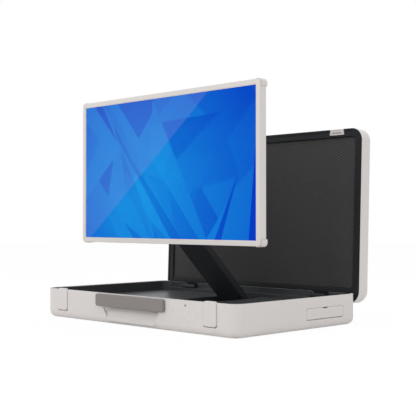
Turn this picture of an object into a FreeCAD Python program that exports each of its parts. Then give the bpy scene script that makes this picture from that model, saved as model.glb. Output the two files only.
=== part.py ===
"""Briefcase touchscreen monitor: an open carry case with a screen on a folding arm.

Frame: millimetres, origin at the centre of the case's footprint on the table, +X to the right of a person
who faces the screen, +Y to the back (the lid's hinge), +Z up. The case stands open, as in use.
"""
import FreeCAD, Part
import math
import os
import re

import Sketcher
from FreeCAD import Placement, Rotation, Vector

# Driving dimensions, in millimetres and degrees
SIZES = {
    # case
    "case_width": 670.0,
    "case_depth": 420.0,
    "case_corner": 30.0,
    "base_height": 72.0,
    "base_wall": 4.0,
    "base_fillet": 16.0,
    "lid_height": 45.0,
    "lid_wall": 3.0,
    "lid_fillet": 15.0,
    "rim_gap": 0.4,
    "lid_open_angle": 92.1,
    "cover_gap": 0.5,
    "seat_gap": 0.3,
    "shaft_gap": 0.05,
    # lid hinge
    "hinge_inset": 12.0,
    "hinge_drop": 13.2,
    "hinge_side": 108.0,
    "hinge_notch_half": 25.0,
    "hinge_window_room": 1.0,
    "hinge_barrel": 8.0,
    "hinge_pin": 3.0,
    "hinge_cheek": 4.0,
    "hinge_leaf_half": 18.7,
    "hinge_leaf_thick": 8.0,
    "hinge_leaf_reach": 27.0,
    "hinge_block_low": 34.0,
    "hinge_block_room": 1.3,
    # tray
    "tray_level": 46.5,
    "tray_sheet": 2.5,
    "tray_side": 2.0,
    "tray_lip_drop": 1.5,
    "tray_ledge_depth": 16.0,
    "tray_ledge_rise": 9.5,
    "slot_half": 54.0,
    "slot_front_inset": 34.0,
    "slot_back_inset": 12.0,
    "slot_floor": 9.5,
    "slot_back_corner": 40.0,
    # arm
    "pivot_inset": 49.9,
    "pivot_z": 22.0,
    "arm_rise": 44.5,
    "arm_length": 299.1,
    "arm_width": 90.0,
    "arm_thick": 20.0,
    "arm_sheet": 2.0,
    "arm_bevel": 3.0,
    "arm_end_flat": 0.1,
    "pivot_shaft": 5.0,
    "pivot_barrel": 7.6,
    "pivot_bush_wall": 1.5,
    "pivot_bush_length": 12.0,
    "pivot_cap": 8.0,
    "pivot_cap_thick": 1.5,
    "cheek_thick": 5.6,
    "cheek_gap": 0.4,
    "casting_base": 6.0,
    "casting_reach": 64.1,
    "casting_tail": 17.9,
    "casting_margin": 2.0,
    "casting_screw_x": 38.0,
    "casting_screw_inset": 12.0,
    "spine_thick": 5.0,
    "spine_half": 30.0,
    "spine_fork": 30.0,
    "spine_boss": 6.5,
    "tilt_shaft": 3.0,
    "tilt_drop": 4.0,
    "arm_screw_y": 60.0,
    "arm_screw_x": 36.0,
    "tilt_lug_inner": 27.5,
    "tilt_notch_half": 25.5,
    "tilt_notch_depth": 12.5,
    # head
    "hinge_offset": 32.57,
    "hub_reach": 139.56,
    "hub_radius": 46.0,
    "head_plate": 6.0,
    "head_plate_half": 32.0,
    "head_barrel": 7.0,
    "head_neck_half": 8.0,
    "hub_rotor_thick": 4.0,
    "hub_axle": 8.0,
    "hub_nut": 14.0,
    "hub_nut_thick": 2.6,
    "hub_cover_radius": 44.0,
    "hub_cover_wall": 1.5,
    "hub_cover_rim": 3.0,
    "hub_cover_depth": 5.5,
    # screen
    "panel_width": 597.7,
    "panel_height": 336.2,
    "bezel": 12.2,
    "screen_thick": 22.0,
    "screen_corner": 8.0,
    "screen_wall": 2.5,
    "bezel_lip": 2.0,
    "bezel_edge_round": 0.8,
    "bezel_overlap": 1.4,
    "glass_thick": 2.0,
    "lcd_thick": 6.0,
    "backlight_thick": 1.5,
    "rear_cover_depth": 8.0,
    "rear_edge_round": 3.0,
    "glass_border": 3.0,
    "backing_thick": 3.0,
    "backing_radius": 50.0,
    "bumper_reach": 15.0,
    "bumper_proud": 1.8,
    "bumper_front": 17.5,
    "rear_screw_head": 3.2,
    "rear_screw_depth": 1.2,
    "rear_screw_sink": 0.2,
    # lid trim
    "lid_band": 16.0,
    "lid_frame_recess": 1.5,
    "lid_frame_thick": 4.5,
    "lid_lip_inset": 0.3,
    "lid_lip_hold": 2.0,
    "lid_panel_seat": 8.0,
    "lid_panel_thick": 4.0,
    "lid_panel_corner": 12.0,
    "lid_post": 6.0,
    "lid_post_x": 240.0,
    "lid_post_y": 120.0,
    "keeper_half": 21.3,
    "keeper_depth": 11.2,
    "keeper_thick": 6.0,
    "keeper_notch": 2.8,
    "keeper_notch_depth": 6.5,
    "keeper_slot_half": 14.0,
    "keeper_slot_width": 4.0,
    "keeper_slot_depth": 3.0,
    # latches
    "latch_side": 75.0,
    "latch_half": 19.5,
    "latch_low": 20.5,
    "latch_top": 74.4,
    "latch_proud": 2.6,
    "latch_corner": 7.0,
    "latch_round": 2.2,
    "latch_pocket_half": 20.3,
    "latch_pocket_low": 19.2,
    "latch_pocket_corner": 5.0,
    "latch_back": 0.4,
    "latch_claw": 2.0,
    "latch_claw_reach": 2.4,
    "latch_claw_inset": 7.0,
    "latch_pin_depth": 1.7,
    "latch_pin_z": 24.5,
    "latch_pin": 1.1,
    "latch_pin_hold": 4.0,
    "latch_box_depth": 6.0,
    "latch_box_sheet": 1.5,
    # grip bar over the finger scoop
    "grip_side": 215.0,
    "grip_low": 41.0,
    "grip_high": 69.5,
    "grip_proud": 8.0,
    "grip_corner": 5.0,
    "grip_round": 2.5,
    "grip_screw": 2.0,
    "grip_screw_reach": 5.0,
    "grip_screw_head": 3.6,
    "grip_screw_head_thick": 2.0,
    "grip_screw_inset": 9.5,
    "grip_screw_rise": 7.0,
    "scoop_inset": 19.0,
    "scoop_splay": 30.0,
    "scoop_taper": 17.0,
    "scoop_depth": 19.5,
    "scoop_low": 14.0,
    "scoop_full": 57.0,
    "scoop_top": 60.0,
    "scoop_wall": 3.0,
    # indicator dots and button
    "dot_side": 188.4,
    "dot_pitch": 25.1,
    "dot_level": 46.7,
    "dot_radius": 1.2,
    "button_side": 150.8,
    "button_level": 60.5,
    "button_radius": 2.0,
    "button_flange": 3.2,
    "button_flange_thick": 0.5,
    "button_proud": 0.3,
    "small_board_thick": 1.6,
    "small_board_inset": 5.4,
    "small_board_margin": 9.0,
    "small_board_drop": 12.0,
    "small_board_rise": 2.0,
    "switch_gap": 0.1,
    # port bay
    "port_near": 16.0,
    "port_far": 152.4,
    "port_low": 21.5,
    "port_high": 48.0,
    "port_corner": 6.2,
    "port_gap": 0.4,
    "port_cover_thick": 3.0,
    "port_notch_near": 76.0,
    "port_notch_far": 93.0,
    "port_notch_depth": 2.2,
    "port_pin_inset": 3.5,
    "port_pin_z": 29.3,
    "port_pin": 1.2,
    "port_roll": 7.2,
    "port_cover_corner": 7.4,
    "port_lug": 2.6,
    "port_lug_width": 8.0,
    "port_lug_inset": 12.0,
    "port_bay_depth": 26.0,
    "port_bay_sheet": 1.5,
    "port_bay_margin": 2.0,
    "port_bay_low": 20.0,
    "port_bay_high": 43.5,
    "socket_face": 12.0,
    "socket_level": 34.0,
    "socket_wall": 0.9,
    "socket_mouth": 8.0,
    "inlet_start": 24.0,
    "inlet_width": 20.0,
    "inlet_height": 14.0,
    "inlet_bore": 5.2,
    "inlet_core": 1.2,
    "hdmi_start": 54.0,
    "hdmi_width": 17.0,
    "hdmi_height": 7.5,
    "usb_start": 82.0,
    "usb_pitch": 22.0,
    "usb_width": 15.0,
    "usb_height": 7.5,
    "audio_start": 128.0,
    "audio_width": 10.0,
    "audio_bore": 1.9,
    # inside the base
    "pad_radius": 12.0,
    "pad_thick": 2.0,
    "pad_side": 50.0,
    "pad_end": 50.0,
    "post_radius": 5.0,
    "slot_post_offset": 12.0,
    "slot_post_pitch": 150.0,
    "side_post_inset": 24.0,
    "side_post_end": 100.0,
    "side_post_middle": 10.0,
    "side_post_back": 160.0,
    "battery_width": 78.0,
    "battery_depth": 190.0,
    "battery_height": 30.0,
    "battery_gap": 4.0,
    "battery_from": 76.0,
    "battery_y": 20.0,
    "strap_width": 24.0,
    "strap_thick": 1.5,
    "board_thick": 1.6,
    "standoff": 6.0,
    "standoff_radius": 3.0,
    "standoff_inset": 8.0,
    "main_board_x": 80.0,
    "board_side": 105.0,
    "main_board_depth": 150.0,
    "main_board_y": 50.0,
    "power_board_depth": 90.0,
    "board_gap": 12.0,
    "spreader_side": 60.0,
    "spreader_height": 12.0,
    "speaker_width": 70.0,
    "speaker_depth": 60.0,
    "speaker_height": 34.0,
    "speaker_inset": 12.0,
    "speaker_end": 60.0,
    "screw_radius": 2.5,
    "screw_head": 5.0,
    "screw_head_thick": 2.0,
    "screw_head_sink": 0.3,
    "screen_board_x": 80.0,
    "screen_board_width": 160.0,
    "screen_board_low": 60.0,
    "screen_board_height": 100.0,
    "rear_screw_inset": 22.0,
}

doc = FreeCAD.newDocument("BriefcaseMonitor")
sheet = doc.addObject("Spreadsheet::Sheet", "Dims")
for row, (alias, value) in enumerate(SIZES.items(), start=1):
    sheet.set(f"A{row}", alias)
    sheet.set(f"B{row}", str(value))
    sheet.setAlias(f"B{row}", alias)
doc.recompute()

ALIAS = re.compile(r"\b(" + "|".join(sorted(SIZES, key=len, reverse=True)) + r")\b")
NORMAL = {"XY": 2, "XZ": 1, "YZ": 0}
FLAT = 1e-4
NEAR = 0.01
NODES = []


def size(alias):
    """Value of one driving dimension."""
    return float(sheet.get(alias))


def bind(obj, prop, formula):
    """Tie a property to a formula of driving dimensions."""
    obj.setExpression(prop, ALIAS.sub(r"Dims.\1", formula))


def put(obj, corner):
    """Tie the three coordinates of an object's placement to formulas."""
    for letter, formula in zip("xyz", corner):
        bind(obj, f"Placement.Base.{letter}", formula)


# Primitives and booleans
def box(name, x, y, z):
    """Box between the (low, high) formulas of each axis."""
    solid = doc.addObject("Part::Box", name)
    for prop, (low, high) in zip(("Length", "Width", "Height"), (x, y, z)):
        bind(solid, prop, f"({high}) - ({low})")
    put(solid, (x[0], y[0], z[0]))
    return solid


def rod(name, axis, centre, span, radius):
    """Cylinder along x, y or z. centre gives the other two coordinates in order."""
    solid = doc.addObject("Part::Cylinder", name)
    bind(solid, "Radius", radius)
    bind(solid, "Height", f"({span[1]}) - ({span[0]})")
    if axis == "x":
        solid.Placement = Placement(Vector(), Rotation(Vector(0, 1, 0), 90))
        put(solid, (span[0], centre[0], centre[1]))
    elif axis == "y":
        solid.Placement = Placement(Vector(), Rotation(Vector(1, 0, 0), -90))
        put(solid, (centre[0], span[0], centre[1]))
    else:
        put(solid, (centre[0], centre[1], span[0]))
    return solid


def join(name, *parts):
    """Union of several solids."""
    union = doc.addObject("Part::MultiFuse", name)
    union.Shapes = list(parts)
    union.Refine = True
    return union


def cut(name, base, *tools):
    """Base less all the tools."""
    result = doc.addObject("Part::Cut", name)
    result.Base = base
    result.Tool = tools[0] if len(tools) == 1 else join(f"{name}_tools", *tools)
    result.Refine = True
    return result


def overlap(name, first, second):
    """What two solids share."""
    shared = doc.addObject("Part::MultiCommon", name)
    shared.Shapes = [first, second]
    return shared


def group(name, *parts):
    """Separate solids that share one node."""
    together = doc.addObject("Part::Compound", name)
    together.Links = list(parts)
    return together


# Sketched bodies
def origin_plane(body, plane):
    """The body's own origin plane."""
    return next(item for item in body.Origin.OriginFeatures if item.Role == f"{plane}_Plane")


def outline(body, plane, points, level):
    """Closed polygon on an origin plane, every corner tied to two formulas."""
    sketch = body.newObject("Sketcher::SketchObject", f"{body.Name}_sketch")
    sketch.AttachmentSupport = [(origin_plane(body, plane), "")]
    sketch.MapMode = "FlatFace"
    bind(sketch, "AttachmentOffset.Base.z", level)
    count = len(points)
    start = [Vector(math.cos(2 * math.pi * k / count), math.sin(2 * math.pi * k / count),
                    0) for k in range(count)]
    for k in range(count):
        sketch.addGeometry(Part.LineSegment(start[k], start[(k + 1) % count]), False)
    for k in range(count):
        sketch.addConstraint(Sketcher.Constraint("Coincident", k, 2, (k + 1) % count, 1))
    for k, corner in enumerate(points):
        for kind, formula, value in zip(("DistanceX", "DistanceY"), corner, start[k]):
            number = sketch.addConstraint(Sketcher.Constraint(kind, -1, 1, k, 1, value))
            bind(sketch, f"Constraints[{number}]", formula)
    return sketch


def rectangle(across, along):
    """Corner formulas of a rectangle from two (low, high) pairs."""
    return [(across[0], along[0]), (across[1], along[0]), (across[1], along[1]), (across[0], along[1])]


def pad_level(plane, span):
    """Where a pad's sketch lies, so that the pad fills the span."""
    return f"-({span[1]})" if plane == "XZ" else span[0]


def add(body, plane, points, span):
    """Pad a polygon through the span along the plane's normal."""
    sketch = outline(body, plane, points, pad_level(plane, span))
    feature = body.newObject("PartDesign::Pad", f"{body.Name}_pad")
    feature.Profile = sketch
    bind(feature, "Length", f"({span[1]}) - ({span[0]})")
    doc.recompute()
    return sketch


def round_off(body, edges, radius):
    """Fillet chosen edges of the body's last feature."""
    names = [f"Edge{k}" for k, edge in enumerate(body.Shape.Edges, start=1) if edges(edge)]
    if not names:
        raise RuntimeError(f"{body.Name} has no such edges")
    last = body.Tip
    feature = body.newObject("PartDesign::Fillet", f"{body.Name}_fillet")
    feature.Base = (last, names)
    bind(feature, "Radius", radius)
    doc.recompute()


def bevel_off(body, edges, width):
    """Chamfer chosen edges of the body's last feature."""
    names = [f"Edge{k}" for k, edge in enumerate(body.Shape.Edges, start=1) if edges(edge)]
    last = body.Tip
    feature = body.newObject("PartDesign::Chamfer", f"{body.Name}_bevel")
    feature.Base = (last, names)
    bind(feature, "Size", width)
    doc.recompute()


def lies_in(axis, level):
    """Chooser of edges that lie in the plane where the axis has this value."""
    def chosen(edge):
        bounds = edge.BoundBox
        low = (bounds.XMin, bounds.YMin, bounds.ZMin)[axis]
        high = (bounds.XMax, bounds.YMax, bounds.ZMax)[axis]
        return abs(low - level) < NEAR and abs(high - level) < NEAR
    return chosen


def at_corners(sketch, axis, which=None):
    """Chooser of the straight edges along the axis that start at a sketch's corners."""
    corners = [sketch.Placement.multVec(line.StartPoint) for line in sketch.Geometry]
    if which is not None:
        corners = [corners[k] for k in which]

    def chosen(edge):
        if len(edge.Vertexes) != 2:
            return False
        first, last = (vertex.Point for vertex in edge.Vertexes)
        if abs(abs((last - first)[axis]) - edge.Length) > FLAT:
            return False
        apart = [k for k in range(3) if k != axis]
        return any(all(abs(first[k] - corner[k]) < NEAR for k in apart) for corner in corners)
    return chosen


def plate(name, plane, across, along, span, corner=None, which=None):
    """Body with one rectangular pad, its corners rounded."""
    body = doc.addObject("PartDesign::Body", name)
    sketch = add(body, plane, rectangle(across, along), span)
    if corner is not None:
        round_off(body, at_corners(sketch, NORMAL[plane], which), corner)
    return body


def shape_of(name, plane, points, span):
    """Body with one polygonal pad."""
    body = doc.addObject("PartDesign::Body", name)
    add(body, plane, points, span)
    return body


def both(half):
    """(low, high) pair about zero."""
    return f"-({half})", half


def about(centre, half):
    """(low, high) pair about a centre."""
    return f"({centre}) - ({half})", f"({centre}) + ({half})"


def on_side(side, inner, outer):
    """(low, high) pair from inner to outer, on the left or the right of the middle."""
    return (f"-({outer})", f"-({inner})") if side == "left" else (inner, outer)


def beside(place, side, inner, outer):
    """(low, high) pair from inner to outer, on the left or the right of a place."""
    low, high = on_side(side, inner, outer)
    return f"{place} + {low}", f"{place} + {high}"


def node(name, obj, placement=None):
    """Name a finished sub-part and put it in its place."""
    if placement is not None and obj.ExpressionEngine:
        obj = group(name, obj)
    obj.Label = name
    if placement is not None:
        obj.Placement = placement
    NODES.append(obj)


def turned(angle, y, z):
    """Placement that turns about an axis along X through (y, z)."""
    return Placement(Vector(), Rotation(Vector(1, 0, 0), angle), Vector(0, y, z))


# Places that several pieces share
HALF_W = "case_width / 2"
HALF_D = "case_depth / 2"
INNER_W = "case_width / 2 - base_wall"
INNER_D = "case_depth / 2 - base_wall"
HINGE_Y = "(case_depth / 2 - hinge_inset)"
HINGE_Z = "(base_height - hinge_drop)"
HINGE_BLOCK_TOP = f"{HINGE_Z} - hinge_barrel - hinge_block_room"
LID_RIM = "(base_height + rim_gap)"
LID_TOP = "(base_height + rim_gap + lid_height)"
SCREEN_W = "(panel_width / 2 + bezel)"
SCREEN_H = "(panel_height / 2 + bezel)"
PIVOT_Y = f"({HALF_D} - pivot_inset)"
PIVOT = (PIVOT_Y, "pivot_z")
CASTING = (f"{PIVOT_Y} - casting_reach", f"{PIVOT_Y} + casting_tail")
SLOT = (f"-({HALF_D} - slot_front_inset)", f"{HALF_D} - slot_back_inset")
HINGE_X = f"({HALF_W} - hinge_side)"
LATCH_X = f"({HALF_W} - latch_side)"
GRIP_HALF = f"({HALF_W} - grip_side)"
DOT_X = f"({HALF_W} - dot_side)"
BUTTON_X = f"({HALF_W} - button_side)"
ARM_END = "-arm_length"
TILT_IN_ARM = ("-arm_length", "-tilt_drop")
LATCH_PIN = (f"-({HALF_D}) + latch_pin_depth", "latch_pin_z")
BOARD_X = (f"{DOT_X} - small_board_margin", f"{DOT_X} + 3 * dot_pitch + small_board_margin")
BOARD_FRONT = f"-({HALF_D}) + small_board_inset"
BOARD_BACK = f"{BOARD_FRONT} + small_board_thick"
BOARD_TOP = "button_level + button_flange + small_board_rise"
PORT_PIN = (f"({HALF_W} - port_pin_inset)", "port_pin_z")
PORT_PIN_SPAN = ("port_near - port_bay_margin", "port_far + port_bay_margin")
SIDES = (("left", "-"), ("right", ""))

hinge_y = size("case_depth") / 2 - size("hinge_inset")
hinge_z = size("base_height") - size("hinge_drop")
rise = math.radians(size("arm_rise"))
pivot_y = size("case_depth") / 2 - size("pivot_inset")
tilt_y = pivot_y - size("arm_length") * math.cos(rise) - size("tilt_drop") * math.sin(rise)
tilt_z = size("pivot_z") + size("arm_length") * math.sin(rise) - size("tilt_drop") * math.cos(rise)

LID = turned(-size("lid_open_angle"), hinge_y, hinge_z)
ARM = Placement(Vector(0, pivot_y, size("pivot_z")), Rotation(Vector(1, 0, 0), -size("arm_rise")))
HEAD = Placement(Vector(0, tilt_y, tilt_z), Rotation())
SCREEN = Placement(Vector(0, tilt_y - size("hinge_offset"), tilt_z + size("hub_reach")), Rotation())


# Lower case shell
def base_shell():
    """Rounded open box with a finger scoop and openings for latches, dots, ports, hinges and screws."""
    outer = plate("base_outer", "XY", both(HALF_W), both(HALF_D), ("0", "base_height"), "case_corner")
    round_off(outer, lies_in(2, 0.0), "base_fillet")
    inner = plate("base_inner", "XY", both(INNER_W), both(INNER_D), ("base_wall", "base_height + 1"),
                  "case_corner - base_wall")
    round_off(inner, lies_in(2, size("base_wall")), "base_fillet - base_wall")
    lined = join("base_lined", cut("base_hollow", outer, inner),
                 scoop_form("scoop_liner", "scoop_wall", "0"))
    cuts = [scoop_form("scoop", "0", "1"), rim_relief("base_rim_relief")]
    for side, sign in SIDES:
        cuts.append(box(f"hinge_notch_{side}", about(f"{sign}{HINGE_X}", "hinge_notch_half"),
                        (f"{INNER_D} - 2", f"{HALF_D} + 1"), (HINGE_BLOCK_TOP, "base_height + 1")))
        cuts.append(plate(f"latch_opening_{side}", "XZ", about(f"{sign}{LATCH_X}", "latch_pocket_half"),
                          ("latch_pocket_low", "base_height + 1"), (f"-({HALF_D}) - 1", f"-({INNER_D}) + 1"),
                          "latch_pocket_corner", (0, 1)))
        cuts.append(rod(f"latch_pin_seat_{side}", "x", LATCH_PIN, latch_pin_span(sign), "latch_pin"))
    for k, (x, z) in enumerate(grip_screw_places()):
        cuts.append(rod(f"grip_hole_{k}", "y", (x, z), (f"-({HALF_D}) - 1", f"-({INNER_D}) + 1"),
                        "grip_screw"))
        cuts.append(rod(f"grip_sink_{k}", "y", (x, z),
                        (f"-({INNER_D}) - grip_screw_head_thick", f"-({INNER_D}) + 1"), "grip_screw_head"))
    for k in range(4):
        cuts.append(rod(f"dot_hole_{k}", "y", (f"{DOT_X} + {k} * dot_pitch", "dot_level"),
                        (f"-({HALF_D}) - 1", f"-({INNER_D}) + 1"), "dot_radius + shaft_gap"))
    cuts.append(rod("button_hole", "y", (BUTTON_X, "button_level"),
                    (f"-({HALF_D}) - 1", f"-({INNER_D}) + 1"), "button_radius + 2 * shaft_gap"))
    cuts.append(plate("port_opening", "YZ", ("port_near", "port_far"), ("port_low", "port_high"),
                      (f"{INNER_W} - 1", f"{HALF_W} + 1"), "port_corner"))
    cuts.append(rod("port_pin_seat", "y", PORT_PIN, PORT_PIN_SPAN, "port_pin"))
    for k, (x, y) in enumerate(casting_screw_places()):
        cuts.append(rod(f"floor_hole_{k}", "z", (x, y), ("-1", "base_wall + 1"), "screw_radius"))
        cuts.append(rod(f"floor_sink_{k}", "z", (x, y), ("-1", "screw_head_thick"),
                        "screw_head + shaft_gap"))
    for k, (x, y) in enumerate(pad_places()):
        cuts.append(rod(f"pad_seat_{k}", "z", (x, y), ("-1", "pad_thick"), "pad_radius"))
    node("base_shell", cut("base_shell", lined, *cuts))


def scoop_form(name, grow, front):
    """Finger scoop: a wedge in the front wall, narrower at its back and foot, grown evenly by a gap."""
    face = f"-({HALF_D})"
    half = f"({GRIP_HALF} - scoop_inset)"
    splay = "(scoop_splay / scoop_depth)"
    slope = "((scoop_full - scoop_low) / scoop_depth)"
    taper = "(scoop_taper / (grip_low - scoop_low))"
    sideways, down, outward = (f"({grow}) * sqrt(1 + {lean} * {lean})" for lean in (splay, slope, taper))
    start = f"{face} - {front}"
    back = f"{face} + scoop_depth + {grow}"
    top = f"scoop_top + {grow}"
    wide = f"{half} + {sideways} + ({front}) * {splay}"
    narrow = f"{half} - scoop_splay + {sideways} - ({grow}) * {splay}"
    plan = [(f"-({wide})", start), (wide, start), (narrow, back), (f"-({narrow})", back)]
    low = f"scoop_low - {down} - ({front}) * {slope}"
    full = f"scoop_full - {down} + ({grow}) * {slope}"
    side = [(start, low), (back, full), (back, top), (start, top)]
    brow = f"{half} + {outward}"
    foot = f"{brow} - grip_low * {taper}"
    look = [(f"-({foot})", "0"), (foot, "0"), (brow, "grip_low"), (brow, top), (f"-({brow})", top),
            (f"-({brow})", "grip_low")]
    sloped = overlap(f"{name}_slopes", shape_of(f"{name}_plan", "XY", plan, ("0", "base_height")),
                     shape_of(f"{name}_side", "YZ", side, both(f"{HALF_W} / 2")))
    return overlap(name, sloped, shape_of(f"{name}_look", "XZ", look, (start, "0")))


def rim_relief(name):
    """What the turning lid sweeps from the rear rim: all that lies outside a roll about the hinge axis."""
    block = box(f"{name}_block", both(f"{HALF_W} + 5"), (HINGE_Y, f"{HALF_D} + 5"),
                (HINGE_Z, "base_height + 5"))
    roll = rod(f"{name}_roll", "x", (HINGE_Y, HINGE_Z), both(f"{HALF_W} + 6"), "hinge_drop")
    return cut(name, block, roll)


def casting_screw_places():
    """Where the four screws hold the arm's base casting to the floor."""
    return [(f"{sign}casting_screw_x", y) for side, sign in SIDES
            for y in (f"{CASTING[0]} + casting_screw_inset", f"{CASTING[1]} - casting_screw_inset")]


def grip_screw_places():
    """Where the four screws hold the grip bar, two at each end."""
    return [(f"{sign}({GRIP_HALF} - grip_screw_inset)", z) for side, sign in SIDES
            for z in ("grip_low + grip_screw_rise", "grip_high - grip_screw_rise")]


def pad_places():
    """Where the four foot pads are."""
    return [(f"{x}({HALF_W} - pad_side)", f"{y}({HALF_D} - pad_end)") for x in ("-", "") for y in ("-", "")]


def foot_pads():
    """Rubber pads let into the floor, flush with it."""
    pads = [rod(f"foot_pad_{k}", "z", (x, y), ("0", "pad_thick"), "pad_radius - shaft_gap")
            for k, (x, y) in enumerate(pad_places())]
    node("foot_pads", group("foot_pads", *pads))


# Black tray with the arm's slot
def deck_tray():
    """Pan that lines the case, with a deep slot for the folded arm and a ledge along the hinges."""
    outer_w = f"{INNER_W} - cover_gap"
    outer_d = f"{INNER_D} - cover_gap"
    low = "tray_level - tray_sheet"
    top = "base_height - tray_lip_drop"
    corner = "case_corner - base_wall - cover_gap"
    pan = plate("tray_pan", "XY", both(outer_w), both(outer_d), (low, top), corner)
    tub = plate("tray_tub", "XY", both("slot_half + tray_sheet"),
                (f"{SLOT[0]} - tray_sheet", f"{SLOT[1]} + tray_sheet"),
                ("slot_floor - tray_sheet", "tray_level"),
                "slot_back_corner + tray_sheet", (2, 3))
    well = plate("tray_well", "XY", both(f"{outer_w} - tray_side"), both(f"{outer_d} - tray_side"),
                 ("tray_level", f"{top} + 1"), f"{corner} - tray_side")
    ledge_front = f"{outer_d} - tray_side - tray_ledge_depth"
    ledge = box("tray_ledge", both(f"{outer_w} - case_corner"), (ledge_front, f"{outer_d} - 1"),
                ("tray_level - 1", "tray_level + tray_ledge_rise"))
    slot = plate("tray_slot", "XY", both("slot_half"), SLOT, ("slot_floor", f"{top} + 1"),
                 "slot_back_corner", (2, 3))
    bump = overlap("tray_bump", scoop_form("tray_scoop", "scoop_wall + cover_gap + tray_side", "0"),
                   box("tray_bump_reach", both(HALF_W), (f"-({outer_d})", "0"), (low, top)))
    pocket = box("tray_pocket", (f"{BOARD_X[0]} - cover_gap - tray_side",
                                 f"{BOARD_X[1]} + cover_gap + tray_side"),
                 (f"-({outer_d})", f"{BOARD_BACK} + cover_gap + tray_side"),
                 (low, f"{BOARD_TOP} + cover_gap + tray_side"))
    cavity = box("tray_pocket_gap", (f"{BOARD_X[0]} - cover_gap", f"{BOARD_X[1]} + cover_gap"),
                 (f"-({INNER_D})", f"{BOARD_BACK} + cover_gap"), (f"{low} - 1", f"{BOARD_TOP} + cover_gap"))
    lined = join("tray_lined", cut("tray_hollow", join("tray_solid", pan, tub), well), ledge, bump, pocket)
    cuts = [slot, cavity, rim_relief("tray_rim_relief"),
            scoop_form("tray_scoop_gap", "scoop_wall + cover_gap", "0")]
    cuts.append(box("casting_window", both("arm_width / 2 + cheek_gap + cheek_thick + seat_gap"),
                    (f"{CASTING[0]} - seat_gap", f"{CASTING[1]} + seat_gap"), ("0", "slot_floor + 1")))
    for side, sign in SIDES:
        cuts.append(box(f"tray_hinge_window_{side}", about(f"{sign}{HINGE_X}", "hinge_notch_half"),
                        (f"{HINGE_Y} - hinge_barrel - hinge_window_room", HALF_D),
                        ("tray_level - tray_sheet - 1", "base_height + 1")))
    node("deck_tray", cut("deck_tray", lined, *cuts))


def deck_posts():
    """Posts between floor and tray."""
    places = [(f"{sign}(slot_half + slot_post_offset)", f"{k} * slot_post_pitch")
              for side, sign in SIDES for k in (-1, 0, 1)]
    places += [(f"{sign}({HALF_W} - side_post_inset)", y) for side, sign in SIDES
               for y in (f"-({HALF_D} - side_post_end)", "-side_post_middle", "side_post_back")]
    posts = [rod(f"deck_post_{k}", "z", place, ("base_wall", "tray_level - tray_sheet"), "post_radius")
             for k, place in enumerate(places)]
    node("deck_posts", group("deck_posts", *posts))


# Lid hinges
def lid_hinges():
    """Brackets and pins in the case, and the lid's hinge arms."""
    brackets = []
    pins = []
    arms = []
    for side, sign in SIDES:
        place = f"{sign}{HINGE_X}"
        cheeks = []
        for end, _ in SIDES:
            span = beside(place, end, "hinge_leaf_half + cover_gap",
                          "hinge_leaf_half + cover_gap + hinge_cheek")
            cheeks.append(rod(f"cheek_{side}_{end}", "x", (HINGE_Y, HINGE_Z), span, "hinge_barrel"))
            cheeks.append(box(f"cheek_web_{side}_{end}", span, about(HINGE_Y, "hinge_barrel"),
                              ("hinge_block_low", HINGE_Z)))
        block = box(f"hinge_block_{side}", about(place, "hinge_leaf_half + cover_gap + hinge_cheek"),
                    (f"{HINGE_Y} - hinge_barrel", INNER_D), ("hinge_block_low", HINGE_BLOCK_TOP))
        bore = rod(f"cheek_bore_{side}", "x", (HINGE_Y, HINGE_Z), about(place, "hinge_notch_half"),
                   "hinge_pin")
        brackets.append(cut(f"bracket_{side}", join(f"bracket_solid_{side}", block, *cheeks), bore))
        pins.append(rod(f"lid_pin_{side}", "x", (HINGE_Y, HINGE_Z),
                        about(place, "hinge_leaf_half + cover_gap + hinge_cheek"), "hinge_pin"))
        arms.append(lid_hinge_arm(side, place))
    node("lid_hinge_brackets", group("lid_hinge_brackets", *brackets))
    node("lid_hinge_pins", group("lid_hinge_pins", *pins))
    node("lid_hinge_arms", group("lid_hinge_arms", *arms), LID)


def lid_hinge_arm(side, place):
    """Barrel on the hinge pin with a leaf that reaches up to the lid's rear wall."""
    wide = about(place, "hinge_leaf_half")
    barrel = rod(f"lid_barrel_{side}", "x", (HINGE_Y, HINGE_Z), wide, "hinge_barrel")
    leaf = box(f"lid_leaf_{side}", wide, about(HINGE_Y, "hinge_leaf_thick / 2"),
               (HINGE_Z, f"{LID_RIM} + hinge_leaf_reach"))
    foot = box(f"lid_foot_{side}", wide, (HINGE_Y, f"{HALF_D} - lid_wall"),
               (f"{LID_RIM} + lid_frame_recess", f"{LID_RIM} + hinge_leaf_reach"))
    bore = rod(f"lid_bore_{side}", "x", (HINGE_Y, HINGE_Z), about(place, "hinge_notch_half"),
               "hinge_pin + shaft_gap")
    return cut(f"lid_arm_{side}", join(f"lid_arm_solid_{side}", barrel, leaf, foot), bore)


# Lid, drawn closed and then opened about its hinge
def lid_shell():
    """Rounded cover, open below, its rim set back by the lip of the lid frame."""
    outer = plate("lid_outer", "XY", both(HALF_W), both(HALF_D),
                  (f"{LID_RIM} + lid_frame_recess", LID_TOP), "case_corner")
    top = size("base_height") + size("rim_gap") + size("lid_height")
    round_off(outer, lies_in(2, top), "lid_fillet")
    inner = plate("lid_inner", "XY", both(f"{HALF_W} - lid_wall"), both(f"{HALF_D} - lid_wall"),
                  (f"{LID_RIM} - 1", f"{LID_TOP} - lid_wall"), "case_corner - lid_wall")
    round_off(inner, lies_in(2, top - size("lid_wall")), "lid_fillet - lid_wall")
    notches = [box(f"lid_notch_{side}", about(f"{sign}{LATCH_X}", "keeper_half"),
                   (f"-({HALF_D}) - 1", f"-({HALF_D}) + lid_wall + 1"),
                   (f"{LID_RIM} - 1", f"{LID_RIM} + keeper_notch")) for side, sign in SIDES]
    node("lid_shell", cut("lid_shell", outer, inner, *notches), LID)


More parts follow.
